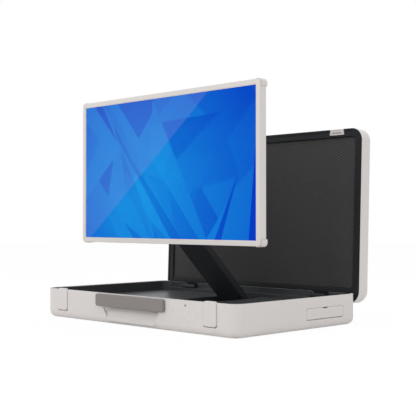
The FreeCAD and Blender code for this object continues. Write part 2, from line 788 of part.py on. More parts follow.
def lid_frame():
    """Black band just inside the lid, with a lip over its rim, notched for the hinge arms and keepers."""
    low = f"{LID_RIM} + lid_frame_recess"
    high = f"{low} + lid_frame_thick"
    band = plate("lid_band_outer", "XY", both(f"{HALF_W} - lid_wall - seat_gap"),
                 both(f"{HALF_D} - lid_wall - seat_gap"), (low, high), "case_corner - lid_wall - seat_gap")
    lip = plate("lid_lip_outer", "XY", both(f"{HALF_W} - lid_lip_inset"), both(f"{HALF_D} - lid_lip_inset"),
                (LID_RIM, low), "case_corner - lid_lip_inset")
    hold = "lid_wall + seat_gap + lid_lip_hold"
    inside = plate("lid_lip_inner", "XY", both(f"{HALF_W} - ({hold})"),
                   both(f"{HALF_D} - ({hold})"), (f"{LID_RIM} - 1", low), f"case_corner - ({hold})")
    ring = join("lid_band_with_lip", band, cut("lid_lip", lip, inside))
    window = plate("lid_band_window", "XY", both(f"{HALF_W} - lid_wall - lid_band"),
                   both(f"{HALF_D} - lid_wall - lid_band"), (f"{low} - 1", f"{high} + 1"),
                   "lid_panel_corner")
    cuts = [window]
    for side, sign in SIDES:
        cuts.append(box(f"frame_hinge_notch_{side}", about(f"{sign}{HINGE_X}", "hinge_leaf_half + seat_gap"),
                        (f"{HINGE_Y} - hinge_leaf_thick / 2 - seat_gap", HALF_D),
                        (f"{LID_RIM} - 1", LID_TOP)))
        cuts.append(box(f"frame_keeper_notch_{side}", about(f"{sign}{LATCH_X}", "keeper_half + seat_gap"),
                        (f"-({HALF_D})", f"-({HALF_D}) + lid_wall + keeper_depth + seat_gap"),
                        (f"{LID_RIM} - 1", LID_TOP)))
    node("lid_frame", cut("lid_frame", ring, *cuts), LID)


def lid_panel():
    """Textured panel behind the frame, on posts from the lid's top."""
    face = f"{LID_RIM} + lid_frame_recess + lid_frame_thick"
    back = f"{face} + lid_panel_thick"
    body = plate("lid_panel_body", "XY", both(f"{HALF_W} - lid_wall - lid_panel_seat"),
                 both(f"{HINGE_Y} - hinge_leaf_thick / 2 - cover_gap"), (face, back), "lid_panel_corner")
    cuts = [box(f"panel_keeper_notch_{side}", about(f"{sign}{LATCH_X}", "keeper_half + seat_gap"),
                (f"-({HALF_D})", f"-({HALF_D}) + lid_wall + keeper_depth + seat_gap"),
                (f"{face} - 1", LID_TOP))
            for side, sign in SIDES]
    node("lid_panel", cut("lid_panel", body, *cuts), LID)
    places = [(f"{k} * lid_post_x", f"{sign}lid_post_y") for k in (-1, 0, 1) for side, sign in SIDES]
    posts = [rod(f"lid_post_{k}", "z", place, (back, f"{LID_TOP} - lid_wall"), "lid_post")
             for k, place in enumerate(places)]
    node("lid_posts", group("lid_posts", *posts), LID)


def latch_keepers():
    """Light blocks in the lid's front edge, each with a notch for the latch's claw and a slot behind it."""
    keepers = []
    front = f"-({HALF_D}) + lid_wall"
    face = f"{LID_RIM} + lid_frame_recess"
    for side, sign in SIDES:
        place = f"{sign}{LATCH_X}"
        block = box(f"keeper_block_{side}", about(place, "keeper_half"), (front, f"{front} + keeper_depth"),
                    (face, f"{face} + keeper_thick"))
        notch = box(f"keeper_notch_{side}", about(place, "keeper_half + 1"),
                    (f"{front} - 1", f"-({HALF_D}) + keeper_notch_depth"),
                    (f"{face} - 1", f"{LID_RIM} + keeper_notch"))
        slot = box(f"keeper_slot_{side}", about(place, "keeper_slot_half"),
                   (f"-({HALF_D}) + keeper_notch_depth + 1",
                    f"-({HALF_D}) + keeper_notch_depth + 1 + keeper_slot_width"),
                   (f"{face} - 1", f"{face} + keeper_slot_depth"))
        keepers.append(cut(f"keeper_{side}", block, notch, slot))
    node("latch_keepers", group("latch_keepers", *keepers), LID)


# Latches on the front wall
def latch_pin_span(sign):
    """The latch pin's length along X, from seat to seat in the wall."""
    return about(f"{sign}{LATCH_X}", "latch_pocket_half + latch_pin_hold")


def latches():
    """Two hinged plates with a claw, their pins, and the boxes that close the openings behind them."""
    boxes = []
    pins = []
    for side, sign in SIDES:
        place = f"{sign}{LATCH_X}"
        latch_plate(side, place)
        outer = box(f"latch_box_outer_{side}", about(place, "latch_pocket_half + latch_box_sheet"),
                    (f"-({INNER_D})", f"-({INNER_D}) + latch_box_depth + latch_box_sheet"),
                    ("latch_pocket_low - latch_box_sheet", "tray_level - tray_sheet - seat_gap"))
        inner = box(f"latch_box_inner_{side}", about(place, "latch_pocket_half"),
                    (f"-({INNER_D}) - 1", f"-({INNER_D}) + latch_box_depth"),
                    ("latch_pocket_low", "tray_level"))
        boxes.append(cut(f"latch_box_{side}", outer, inner))
        pins.append(rod(f"latch_pin_{side}", "x", LATCH_PIN, latch_pin_span(sign), "latch_pin"))
    node("latch_boxes", group("latch_boxes", *boxes))
    node("latch_pins", group("latch_pins", *pins))


def latch_plate(side, place):
    """Latch plate, proud of the front wall, pinned near its lower edge, with a claw at its top."""
    front = f"-({HALF_D}) - latch_proud"
    back = f"-({INNER_D}) - latch_back"
    body = plate(f"latch_face_{side}", "XZ", about(place, "latch_half"), ("latch_low", "latch_top"),
                 (front, back), "latch_corner")
    round_off(body, lies_in(1, -size("case_depth") / 2 - size("latch_proud")), "latch_round")
    claw = box(f"latch_claw_{side}", about(place, "latch_half - latch_claw_inset"),
               (f"{back} - 1", f"{back} + latch_claw_reach"), ("latch_top - latch_claw", "latch_top"))
    bore = rod(f"latch_bore_{side}", "x", LATCH_PIN, about(place, "latch_pocket_half"),
               "latch_pin + shaft_gap")
    node(f"latch_plate_{side}", cut(f"latch_plate_{side}", join(f"latch_solid_{side}", body, claw), bore))


def grip():
    """Grip bar over the finger scoop, and the screws that hold its ends from inside the wall."""
    face = f"-({HALF_D})"
    front = f"{face} - grip_proud"
    bar = plate("grip_bar_body", "XZ", both(GRIP_HALF), ("grip_low", "grip_high"), (front, face),
                "grip_corner")
    round_off(bar, lies_in(1, -size("case_depth") / 2 - size("grip_proud")), "grip_round")
    tip = f"{face} - grip_screw_reach"
    holes = []
    screws = []
    for k, (x, z) in enumerate(grip_screw_places()):
        holes.append(rod(f"grip_tap_{k}", "y", (x, z), (tip, f"{face} + 1"), "grip_screw"))
        shank = rod(f"grip_shank_{k}", "y", (x, z), (tip, f"-({INNER_D}) - grip_screw_head_thick"),
                    "grip_screw")
        head = rod(f"grip_head_{k}", "y", (x, z), (f"-({INNER_D}) - grip_screw_head_thick", f"-({INNER_D})"),
                   "grip_screw_head")
        screws.append(join(f"grip_screw_{k}", shank, head))
    node("grip_bar", cut("grip_bar", bar, *holes))
    node("grip_screws", group("grip_screws", *screws))


# Indicator dots and the battery check button
def indicator():
    """Four light pipes, the board behind them and one push button."""
    pipes = [rod(f"light_pipe_{k}", "y", (f"{DOT_X} + {k} * dot_pitch", "dot_level"),
                 (f"-({HALF_D})", BOARD_FRONT), "dot_radius") for k in range(4)]
    node("indicator_light_pipes", group("indicator_light_pipes", *pipes))
    node("indicator_board", box("indicator_board", BOARD_X, (BOARD_FRONT, BOARD_BACK),
                                ("dot_level - small_board_drop", BOARD_TOP)))
    stem = rod("button_stem", "y", (BUTTON_X, "button_level"),
               (f"-({HALF_D}) - button_proud", f"-({INNER_D}) + seat_gap"), "button_radius")
    back = f"-({INNER_D}) + switch_gap + button_flange_thick"
    flange = rod("button_flange", "y", (BUTTON_X, "button_level"),
                 (f"-({INNER_D}) + switch_gap", back), "button_flange")
    node("battery_button", join("battery_button", stem, flange))


# Port bay in the right wall
def ports():
    """Flap, its pin, the bay behind it and the sockets in the bay."""
    inner_face = f"{HALF_W} - port_cover_thick"
    flap = plate("port_flap", "YZ", ("port_near + port_gap", "port_far - port_gap"),
                 ("port_low + port_gap", "port_high - port_gap"), (inner_face, HALF_W), "port_cover_corner")
    notch = box("flap_notch", (f"{inner_face} - 1", f"{HALF_W} + 1"), ("port_notch_near", "port_notch_far"),
                ("port_high - port_gap - port_notch_depth", "port_high + 1"))
    below = box("flap_below", (PORT_PIN[0], f"{HALF_W} + 1"), ("port_near", "port_far"),
                ("port_low - 1", "port_pin_z"))
    swing = rod("flap_swing", "y", PORT_PIN, ("port_near - 1", "port_far + 1"), "port_roll")
    plain = cut("flap_plate", flap, notch, cut("flap_edge", below, swing))
    lugs = []
    for k, start in enumerate(("port_near + port_lug_inset", "(port_near + port_far - port_lug_width) / 2",
                               "port_far - port_lug_inset - port_lug_width")):
        span = (start, f"{start} + port_lug_width")
        lugs.append(rod(f"flap_lug_{k}", "y", PORT_PIN, span, "port_lug"))
        lugs.append(box(f"flap_web_{k}", (PORT_PIN[0], f"{inner_face} + 1"), span,
                        about("port_pin_z", "port_lug")))
    bore = rod("flap_bore", "y", PORT_PIN, ("port_near", "port_far"), "port_pin + shaft_gap")
    node("port_cover", cut("port_cover", join("flap_solid", plain, *lugs), bore))
    wall = f"{INNER_W} - port_bay_depth"
    near, far = PORT_PIN_SPAN
    outer = box("bay_outer", (wall, INNER_W), PORT_PIN_SPAN, ("port_bay_low", "port_bay_high"))
    inner = box("bay_inner", (f"{wall} + port_bay_sheet", f"{INNER_W} + 1"),
                (f"{near} + port_bay_sheet", f"{far} - port_bay_sheet"),
                ("port_bay_low + port_bay_sheet", "port_bay_high - port_bay_sheet"))
    seat = rod("bay_pin_seat", "y", PORT_PIN, (f"{near} - 1", f"{far} + 1"), "port_pin")
    node("port_bay", cut("port_bay", outer, inner, seat))
    node("port_cover_pin", rod("port_cover_pin", "y", PORT_PIN, PORT_PIN_SPAN, "port_pin"))
    sockets(f"{wall} + port_bay_sheet", f"{INNER_W} - socket_face")


def sockets(back, face):
    """Power inlet, a video socket, two data sockets and a sound socket on the bay's back wall."""
    middle = "socket_level"
    inlet = box("inlet_block", (back, face), ("inlet_start", "inlet_start + inlet_width"),
                about(middle, "inlet_height / 2"))
    spot = ("inlet_start + inlet_width / 2", middle)
    bore = rod("inlet_bore", "x", spot, (f"{face} - socket_mouth", f"{face} + 1"), "inlet_bore")
    core = rod("inlet_core", "x", spot, (f"{face} - socket_mouth", f"{face} - 1"), "inlet_core")
    node("power_inlet", join("power_inlet", cut("inlet_shell", inlet, bore), core))
    shells = []
    for k, (start, kind) in enumerate((("hdmi_start", "hdmi"), ("usb_start", "usb"),
                                       ("usb_start + usb_pitch", "usb"))):
        block = box(f"socket_block_{k}", (back, face), (start, f"{start} + {kind}_width"),
                    about(middle, f"{kind}_height / 2"))
        mouth = box(f"socket_mouth_{k}", (f"{face} - socket_mouth", f"{face} + 1"),
                    (f"{start} + socket_wall", f"{start} + {kind}_width - socket_wall"),
                    about(middle, f"{kind}_height / 2 - socket_wall"))
        shells.append(cut(f"socket_{k}", block, mouth))
    block = box("audio_block", (back, face), ("audio_start", "audio_start + audio_width"),
                about(middle, "audio_width / 2"))
    mouth = rod("audio_mouth", "x", ("audio_start + audio_width / 2", middle),
                (f"{face} - socket_mouth", f"{face} + 1"), "audio_bore")
    shells.append(cut("socket_audio", block, mouth))
    node("signal_sockets", group("signal_sockets", *shells))


# Electronics in the base
def electronics():
    """Battery packs and strap on the left, boards on the right, a speaker in each front corner."""
    packs = []
    for k in range(2):
        near = f"-battery_from - {k} * (battery_width + battery_gap)"
        packs.append(box(f"battery_{k}", (f"{near} - battery_width", near),
                         about("battery_y", "battery_depth / 2"),
                         ("base_wall", "base_wall + battery_height")))
    node("battery_packs", group("battery_packs", *packs))
    far = "-battery_from - 2 * battery_width - battery_gap"
    outer = box("strap_outer", (f"{far} - strap_thick - seat_gap", "-battery_from + strap_thick + seat_gap"),
                about("battery_y", "strap_width / 2"),
                ("base_wall", "base_wall + battery_height + strap_thick"))
    inner = box("strap_inner", (f"{far} - seat_gap", "-battery_from + seat_gap"),
                about("battery_y", "strap_width"), ("0", "base_wall + battery_height"))
    node("battery_strap", cut("battery_strap", outer, inner))
    level = "base_wall + standoff"
    across = ("main_board_x", f"{HALF_W} - board_side")
    main_y = about("main_board_y", "main_board_depth / 2")
    power_back = "main_board_y - main_board_depth / 2 - board_gap"
    power_y = (f"{power_back} - power_board_depth", power_back)
    node("main_board", box("main_board", across, main_y, (level, f"{level} + board_thick")))
    node("power_board", box("power_board", across, power_y, (level, f"{level} + board_thick")))
    feet = []
    for low, high in (main_y, power_y):
        for x in (f"{across[0]} + standoff_inset", f"{across[1]} - standoff_inset"):
            for y in (f"{low} + standoff_inset", f"{high} - standoff_inset"):
                feet.append(rod(f"standoff_{len(feet)}", "z", (x, y), ("base_wall", level),
                                "standoff_radius"))
    node("board_standoffs", group("board_standoffs", *feet))
    top = f"{level} + board_thick"
    node("heat_spreader", box("heat_spreader",
                              about(f"(main_board_x + {HALF_W} - board_side) / 2", "spreader_side / 2"),
                              about("main_board_y", "spreader_side / 2"), (top, f"{top} + spreader_height")))
    speakers = [box(f"speaker_{side}", on_side(side, f"{INNER_W} - speaker_inset - speaker_width",
                                               f"{INNER_W} - speaker_inset"),
                    about(f"-({HALF_D} - speaker_end)", "speaker_depth / 2"),
                    ("base_wall", "base_wall + speaker_height"))
                for side, sign in SIDES]
    node("speakers", group("speakers", *speakers))


# Arm
def arm_base():
    """Casting on the floor with two cheeks, its screws, and the pivot shaft with end caps."""
    inner = "arm_width / 2 + cheek_gap"
    outer = f"{inner} + cheek_thick"
    parts = [box("casting_plate", both(outer), CASTING,
                 ("base_wall", "base_wall + casting_base"))]
    for side, sign in SIDES:
        span = on_side(side, inner, outer)
        parts.append(rod(f"casting_round_{side}", "x", PIVOT, span, "arm_thick / 2 + casting_margin"))
        parts.append(box(f"casting_web_{side}", span, about(PIVOT_Y, "arm_thick / 2 + casting_margin"),
                         ("base_wall", "pivot_z")))
    tip = "base_wall + casting_base - 1"
    cuts = [rod("casting_bore", "x", PIVOT, both(f"{outer} + 1"), "pivot_shaft")]
    screws = []
    for k, (x, y) in enumerate(casting_screw_places()):
        cuts.append(rod(f"casting_tap_{k}", "z", (x, y), ("0", tip), "screw_radius"))
        shank = rod(f"casting_shank_{k}", "z", (x, y), ("screw_head_thick", tip), "screw_radius")
        head = rod(f"casting_head_{k}", "z", (x, y), ("screw_head_sink", "screw_head_thick"), "screw_head")
        screws.append(join(f"casting_screw_{k}", shank, head))
    node("arm_base_casting", cut("arm_base_casting", join("casting_solid", *parts), *cuts))
    node("arm_base_screws", group("arm_base_screws", *screws))
    caps = [rod(f"pivot_cap_{side}", "x", PIVOT, on_side(side, outer, f"{outer} + pivot_cap_thick"),
                "pivot_cap")
            for side, sign in SIDES]
    node("arm_pivot_shaft", join("arm_pivot_shaft", rod("pivot_rod", "x", PIVOT, both(outer), "pivot_shaft"),
                                 *caps))


def arm():
    """Arm in its own frame: pivot at the origin, pointing along -Y, its rear side up."""
    half_w = "arm_width / 2"
    half_t = "arm_thick / 2"
    inner_w = f"{half_w} - arm_sheet"
    inner_t = f"{half_t} - arm_sheet"
    hull = plate("arm_hull", "YZ", (f"{ARM_END} - {half_t}", half_t), both(half_t), both(half_w),
                 f"{half_t} - arm_end_flat")
    for level in (-size("arm_width") / 2, size("arm_width") / 2):
        bevel_off(hull, lies_in(0, level), "arm_bevel")
    notch_back = f"{ARM_END} + tilt_notch_depth"
    inside = [box("arm_cavity", both(inner_w), (f"{notch_back} + arm_sheet", "0"), both(inner_t)),
              rod("arm_pivot_cavity", "x", ("0", "0"), both(inner_w), inner_t),
              rod("arm_shaft_hole", "x", ("0", "0"), both(f"{half_w} + 1"), "pivot_shaft + seat_gap"),
              box("arm_notch", both("tilt_notch_half"), (f"{ARM_END} - arm_thick", notch_back),
                  both("arm_thick"))]
    for side, sign in SIDES:
        lug = on_side(side, "tilt_lug_inner", inner_w)
        inside.append(rod(f"arm_lug_cavity_{side}", "x", (ARM_END, "0"), lug, inner_t))
        inside.append(box(f"arm_lug_space_{side}", lug, (ARM_END, f"{notch_back} + arm_sheet + 1"),
                          both(inner_t)))
        inside.append(rod(f"arm_tilt_hole_{side}", "x", TILT_IN_ARM,
                          on_side(side, "tilt_notch_half - 1", "tilt_lug_inner + 1"),
                          "tilt_shaft + shaft_gap"))
    screws = []
    for k, (x, y) in enumerate((f"{sign}arm_screw_x", y) for side, sign in SIDES
                               for y in ("-arm_screw_y", f"{ARM_END} + arm_screw_y")):
        inside.append(rod(f"arm_screw_hole_{k}", "z", (x, y), (f"{half_t} - arm_sheet - 1", f"{half_t} + 1"),
                          "rear_screw_head"))
        screws.append(rod(f"arm_screw_{k}", "z", (x, y),
                          (f"{half_t} - arm_sheet", f"{half_t} - screw_head_sink"),
                          "rear_screw_head - shaft_gap"))
    shell = cut("arm_shell", hull, *inside)
    whole = (f"{ARM_END} - arm_thick", "arm_thick")
    front = overlap("arm_front_half", shell, box("arm_below", both(half_w), whole, ("-arm_thick", "0")))
    rear = overlap("arm_rear_half", shell, box("arm_above", both(half_w), whole, ("0", "arm_thick")))
    node("arm_front_shell", front, ARM)
    node("arm_rear_shell", rear, ARM)
    node("arm_shell_screws", group("arm_shell_screws", *screws), ARM)
    node("arm_spine", arm_spine(f"{inner_w} - seat_gap"), ARM)
    bushes = []
    for side, sign in SIDES:
        span = on_side(side, f"{inner_w} - seat_gap - pivot_bush_length", f"{inner_w} - seat_gap")
        ring = rod(f"bush_ring_{side}", "x", ("0", "0"), span, "pivot_shaft + pivot_bush_wall")
        bore = rod(f"bush_bore_{side}", "x", ("0", "0"), both(half_w), "pivot_shaft + shaft_gap")
        bushes.append(cut(f"bush_{side}", ring, bore))
    node("pivot_bushes", group("pivot_bushes", *bushes), ARM)
    node("tilt_shaft", rod("tilt_shaft_rod", "x", TILT_IN_ARM, both(f"{inner_w} - seat_gap"), "tilt_shaft"),
         ARM)


def arm_spine(outer):
    """Metal spine: pivot barrel, long plate and two lugs that hold the tilt shaft."""
    fork = f"{ARM_END} + tilt_notch_depth + spine_fork"
    parts = [rod("spine_barrel", "x", ("0", "0"), both(outer), "pivot_barrel"),
             box("spine_plate", both("spine_half"),
                 (f"{ARM_END} + tilt_notch_depth + arm_sheet + seat_gap", "0"),
                 both("spine_thick / 2"))]
    for k, (x, y) in enumerate((f"{sign}arm_screw_x", y) for side, sign in SIDES
                               for y in ("-arm_screw_y", f"{ARM_END} + arm_screw_y")):
        parts.append(rod(f"spine_boss_{k}", "z", (x, y), ("-spine_thick / 2", "arm_thick / 2 - arm_sheet"),
                         "spine_boss"))
        parts.append(box(f"spine_boss_arm_{k}", about(x, "spine_boss"), about(y, "spine_boss"),
                         both("spine_thick / 2")))
    seats = []
    for side, sign in SIDES:
        span = on_side(side, "tilt_lug_inner + seat_gap", outer)
        parts.append(rod(f"spine_lug_{side}", "x", (ARM_END, "0"), span, "pivot_barrel"))
        parts.append(box(f"spine_fork_{side}", span, (ARM_END, fork), both("spine_thick / 2")))
        seats.append(rod(f"spine_bush_seat_{side}", "x", ("0", "0"),
                         on_side(side, f"{outer} - pivot_bush_length", f"{outer} + 1"),
                         "pivot_shaft + pivot_bush_wall"))
    return cut("arm_spine", join("spine_solid", *parts), *seats,
               rod("spine_pivot_bore", "x", ("0", "0"), both(f"{outer} + 1"), "pivot_shaft + shaft_gap"),
               rod("spine_tilt_bore", "x", TILT_IN_ARM, both(f"{outer} + 1"), "tilt_shaft"))


# Head between arm and screen, drawn from the tilt axis
def head():
    """Bracket with a barrel on the tilt shaft and a disc for the hub, and the cover behind the disc."""
    front = "-(hinge_offset - hub_rotor_thick - seat_gap)"
    back = f"{front} + head_plate"
    half = "tilt_notch_half - seat_gap"
    centre = ("0", "hub_reach")
    parts = [rod("head_barrel_rod", "x", ("0", "0"), both(half), "head_barrel"),
             box("head_neck", both(half), (front, "0"), both("head_neck_half")),
             box("head_plate_box", both("head_plate_half"), (front, back), ("-head_neck_half", "hub_reach")),
             rod("head_disc", "y", centre, (front, back), "hub_radius")]
    solid = cut("head_bracket", join("head_solid", *parts),
                rod("head_bore", "x", ("0", "0"), both(half + " + 1"), "tilt_shaft + shaft_gap"),
                rod("head_hub_bore", "y", centre, (f"{front} - 1", f"{back} + 1"), "hub_axle + shaft_gap"))
    node("head_bracket", solid, HEAD)
    cap = rod("cover_disc", "y", centre, (back, f"{back} + hub_cover_depth"), "hub_cover_radius")
    inside = rod("cover_inside", "y", centre, (f"{back} - 1", f"{back} + hub_cover_depth - hub_cover_wall"),
                 "hub_cover_radius - hub_cover_rim")
    node("hub_cover", cut("hub_cover", cap, inside), HEAD)


# Screen, drawn about its centre with its back at y = 0
def screen():
    """Bezel frame, glass, panel, backlight plate, rear cover, bumpers, hub and board."""
    outer = (both(SCREEN_W), both(SCREEN_H))
    split = "-rear_cover_depth"
    bezel = plate("bezel_outer", "XZ", *outer, ("-screen_thick", split), "screen_corner")
    round_off(bezel, lies_in(1, -size("screen_thick")), "bezel_edge_round")
    window = plate("bezel_window", "XZ", both("panel_width / 2 + bezel_overlap"),
                   both("panel_height / 2 + bezel_overlap"),
                   ("-screen_thick - 1", "-screen_thick + bezel_lip + 1"))
    inside = plate("bezel_inner", "XZ", both(f"{SCREEN_W} - screen_wall"), both(f"{SCREEN_H} - screen_wall"),
                   ("-screen_thick + bezel_lip", f"{split} + 1"), "screen_corner - screen_wall")
    node("screen_frame", cut("screen_frame", bezel, window, inside), SCREEN)
    glass_low = "-screen_thick + bezel_lip"
    glass_high = f"{glass_low} + glass_thick"
    panel_high = f"{glass_high} + lcd_thick"
    glass = (both("panel_width / 2 + glass_border"), both("panel_height / 2 + glass_border"))
    node("touch_glass", plate("glass_body", "XZ", *glass, (glass_low, glass_high)), SCREEN)
    node("lcd_panel", plate("lcd_body", "XZ", *glass, (glass_high, panel_high)), SCREEN)
    inner = (both(f"{SCREEN_W} - screen_wall - seat_gap"), both(f"{SCREEN_H} - screen_wall - seat_gap"))
    backlight = plate("backlight_body", "XZ", *inner, (panel_high, f"{panel_high} + backlight_thick"),
                      "screen_corner - screen_wall")
    node("backlight_plate", backlight, SCREEN)
    cover = plate("rear_cover_outer", "XZ", *outer, (split, "0"), "screen_corner")
    round_off(cover, lies_in(1, 0.0), "rear_edge_round")
    hollow = plate("rear_cover_inner", "XZ", both(f"{SCREEN_W} - screen_wall"),
                   both(f"{SCREEN_H} - screen_wall"),
                   (f"{split} - 1", "-screen_wall"), "screen_corner - screen_wall")
    axle_hole = rod("cover_axle_hole", "y", ("0", "0"), ("-screen_wall - 1", "1"), "hub_axle")
    screw_holes = []
    screws = []
    for k, (x, z) in enumerate(rear_screw_places()):
        screw_holes.append(rod(f"rear_sink_{k}", "y", (x, z), ("-rear_screw_depth", "1"), "rear_screw_head"))
        screws.append(rod(f"rear_screw_{k}", "y", (x, z), ("-rear_screw_depth", "-rear_screw_sink"),
                          "rear_screw_head - shaft_gap"))
    node("rear_cover", cut("rear_cover", cover, hollow, axle_hole, *screw_holes), SCREEN)
    node("rear_cover_screws", group("rear_cover_screws", *screws), SCREEN)
    board = box("screen_board_box", ("screen_board_x", "screen_board_x + screen_board_width"),
                ("-screen_wall - board_thick", "-screen_wall"),
                ("-screen_board_low", "-screen_board_low + screen_board_height"))
    node("screen_board", board, SCREEN)
    node("corner_bumpers", bumpers(), SCREEN)
    hub()


def rear_screw_places():
    """Eight screws round the rear cover."""
    across = f"{SCREEN_W} - rear_screw_inset"
    up = f"{SCREEN_H} - rear_screw_inset"
    corners = [(f"{a}({across})", f"{b}({up})") for a in ("", "-") for b in ("", "-")]
    return corners + [("0", up), ("0", f"-({up})"), (across, "0"), (f"-({across})", "0")]


def bumpers():
    """Bumpers that wrap the four corners behind the bezel."""
    outer = plate("bumper_block", "XZ", both(f"{SCREEN_W} + bumper_proud"),
                  both(f"{SCREEN_H} + bumper_proud"),
                  ("-bumper_front", "bumper_proud"), "screen_corner + bumper_proud")
    round_off(outer, lies_in(1, size("bumper_proud")), "bumper_proud")
    core = plate("bumper_core", "XZ", both(SCREEN_W), both(SCREEN_H), ("-screen_thick", "0"),
                 "screen_corner")
    ring = cut("bumper_ring", outer, core)
    low_w = f"{SCREEN_W} - bumper_reach"
    low_h = f"{SCREEN_H} - bumper_reach"
    far_w = f"{SCREEN_W} + 10"
    far_h = f"{SCREEN_H} + 10"
    pieces = []
    for k, (x, z) in enumerate((((low_w, far_w), (low_h, far_h)),
                                ((low_w, far_w), (f"-({far_h})", f"-({low_h})")),
                                ((f"-({far_w})", f"-({low_w})"), (low_h, far_h)),
                                ((f"-({far_w})", f"-({low_w})"), (f"-({far_h})", f"-({low_h})")))):
        pieces.append(overlap(f"bumper_{k}", ring, box(f"bumper_corner_{k}", x, ("-screen_thick", "5"), z)))
    return group("corner_bumpers", *pieces)


def hub():
    """Backing plate in the cover, rotor disc behind it, and the axle with its nut."""
    middle = ("0", "0")
    inside = "-screen_wall - backing_thick"
    nut_low = "hub_rotor_thick + 2 * seat_gap + head_plate"
    nut_high = f"{nut_low} + hub_nut_thick"
    for name, radius, span in (("hub_backing_plate", "backing_radius", (inside, "-screen_wall")),
                               ("hub_rotor", "hub_radius", ("0", "hub_rotor_thick")),
                               ("hub_nut", "hub_nut", (nut_low, nut_high))):
        disc = rod(f"{name}_disc", "y", middle, span, radius)
        hole = rod(f"{name}_hole", "y", middle, (f"{span[0]} - 1", f"{span[1]} + 1"), "hub_axle")
        node(name, cut(name, disc, hole), SCREEN)
    node("hub_axle", rod("hub_axle_rod", "y", middle, (inside, nut_high), "hub_axle"), SCREEN)


for build in (base_shell, foot_pads, deck_tray, deck_posts, lid_hinges, lid_shell, lid_frame, lid_panel,
              latch_keepers, latches, grip, indicator, ports, electronics, arm_base, arm, head, screen):
    build()

doc.recompute()

# Nothing is written before every object is sound
faults = [item.Label for item in doc.Objects if "Invalid" in item.State or "Error" in item.State]
faults += [item.Label for item in NODES if item.Shape.isNull() or not item.Shape.isValid()]
if faults:
    raise RuntimeError("unsound: " + ", ".join(faults))

os.makedirs("parts", exist_ok=True)
for item in NODES:
    item.Shape.exportStep(f"parts/{item.Label}.step")
print(len(NODES), "nodes written")
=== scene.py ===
"""Briefcase touchscreen monitor: finishes, fitted pieces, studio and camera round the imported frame."""

import logging
import math
import random
from dataclasses import dataclass
from enum import Enum
from typing import Callable, ClassVar

import bpy
from mathutils import Matrix, Vector


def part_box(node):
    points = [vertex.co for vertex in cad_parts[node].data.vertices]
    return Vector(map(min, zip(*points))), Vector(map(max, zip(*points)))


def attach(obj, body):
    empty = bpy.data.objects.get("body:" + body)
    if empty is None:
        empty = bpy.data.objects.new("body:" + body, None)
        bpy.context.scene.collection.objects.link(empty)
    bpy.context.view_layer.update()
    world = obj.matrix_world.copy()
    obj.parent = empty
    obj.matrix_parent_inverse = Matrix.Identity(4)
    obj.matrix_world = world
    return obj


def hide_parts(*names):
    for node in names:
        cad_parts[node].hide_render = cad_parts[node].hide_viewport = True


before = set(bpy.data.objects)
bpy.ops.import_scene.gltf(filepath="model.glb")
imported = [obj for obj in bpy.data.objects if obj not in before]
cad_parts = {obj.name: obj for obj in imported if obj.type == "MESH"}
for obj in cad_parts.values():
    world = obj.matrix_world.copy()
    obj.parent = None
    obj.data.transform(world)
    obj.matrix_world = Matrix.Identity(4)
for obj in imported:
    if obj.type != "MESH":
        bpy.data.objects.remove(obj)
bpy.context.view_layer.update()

LOG = logging.getLogger("briefcase_monitor")
MM = 0.001
Colour = tuple[float, float, float, float]
FaceTest = Callable[[bpy.types.MeshPolygon], bool]


def ink(red: int, green: int, blue: int) -> Colour:
    """Turns a colour written as 0 to 255 per channel into Blender's linear colour.

    Args:
        red: red as a screen shows it.
        green: green as a screen shows it.
        blue: blue as a screen shows it.

    Returns:
        The linear colour with an alpha of 1.
    """
    def linear(level: int) -> float:
        """Undoes the screen's curve for one channel."""
        share = level / 255
        return share / 12.92 if share <= 0.04045 else ((share + 0.055) / 1.055) ** 2.4

    return (linear(red), linear(green), linear(blue), 1.0)


def toned(colour: Colour, factor: float) -> Colour:
    """Returns a colour made lighter or darker by a factor."""
    return tuple(min(1.0, channel * factor) for channel in colour[:3]) + (1.0,)


# Node trees


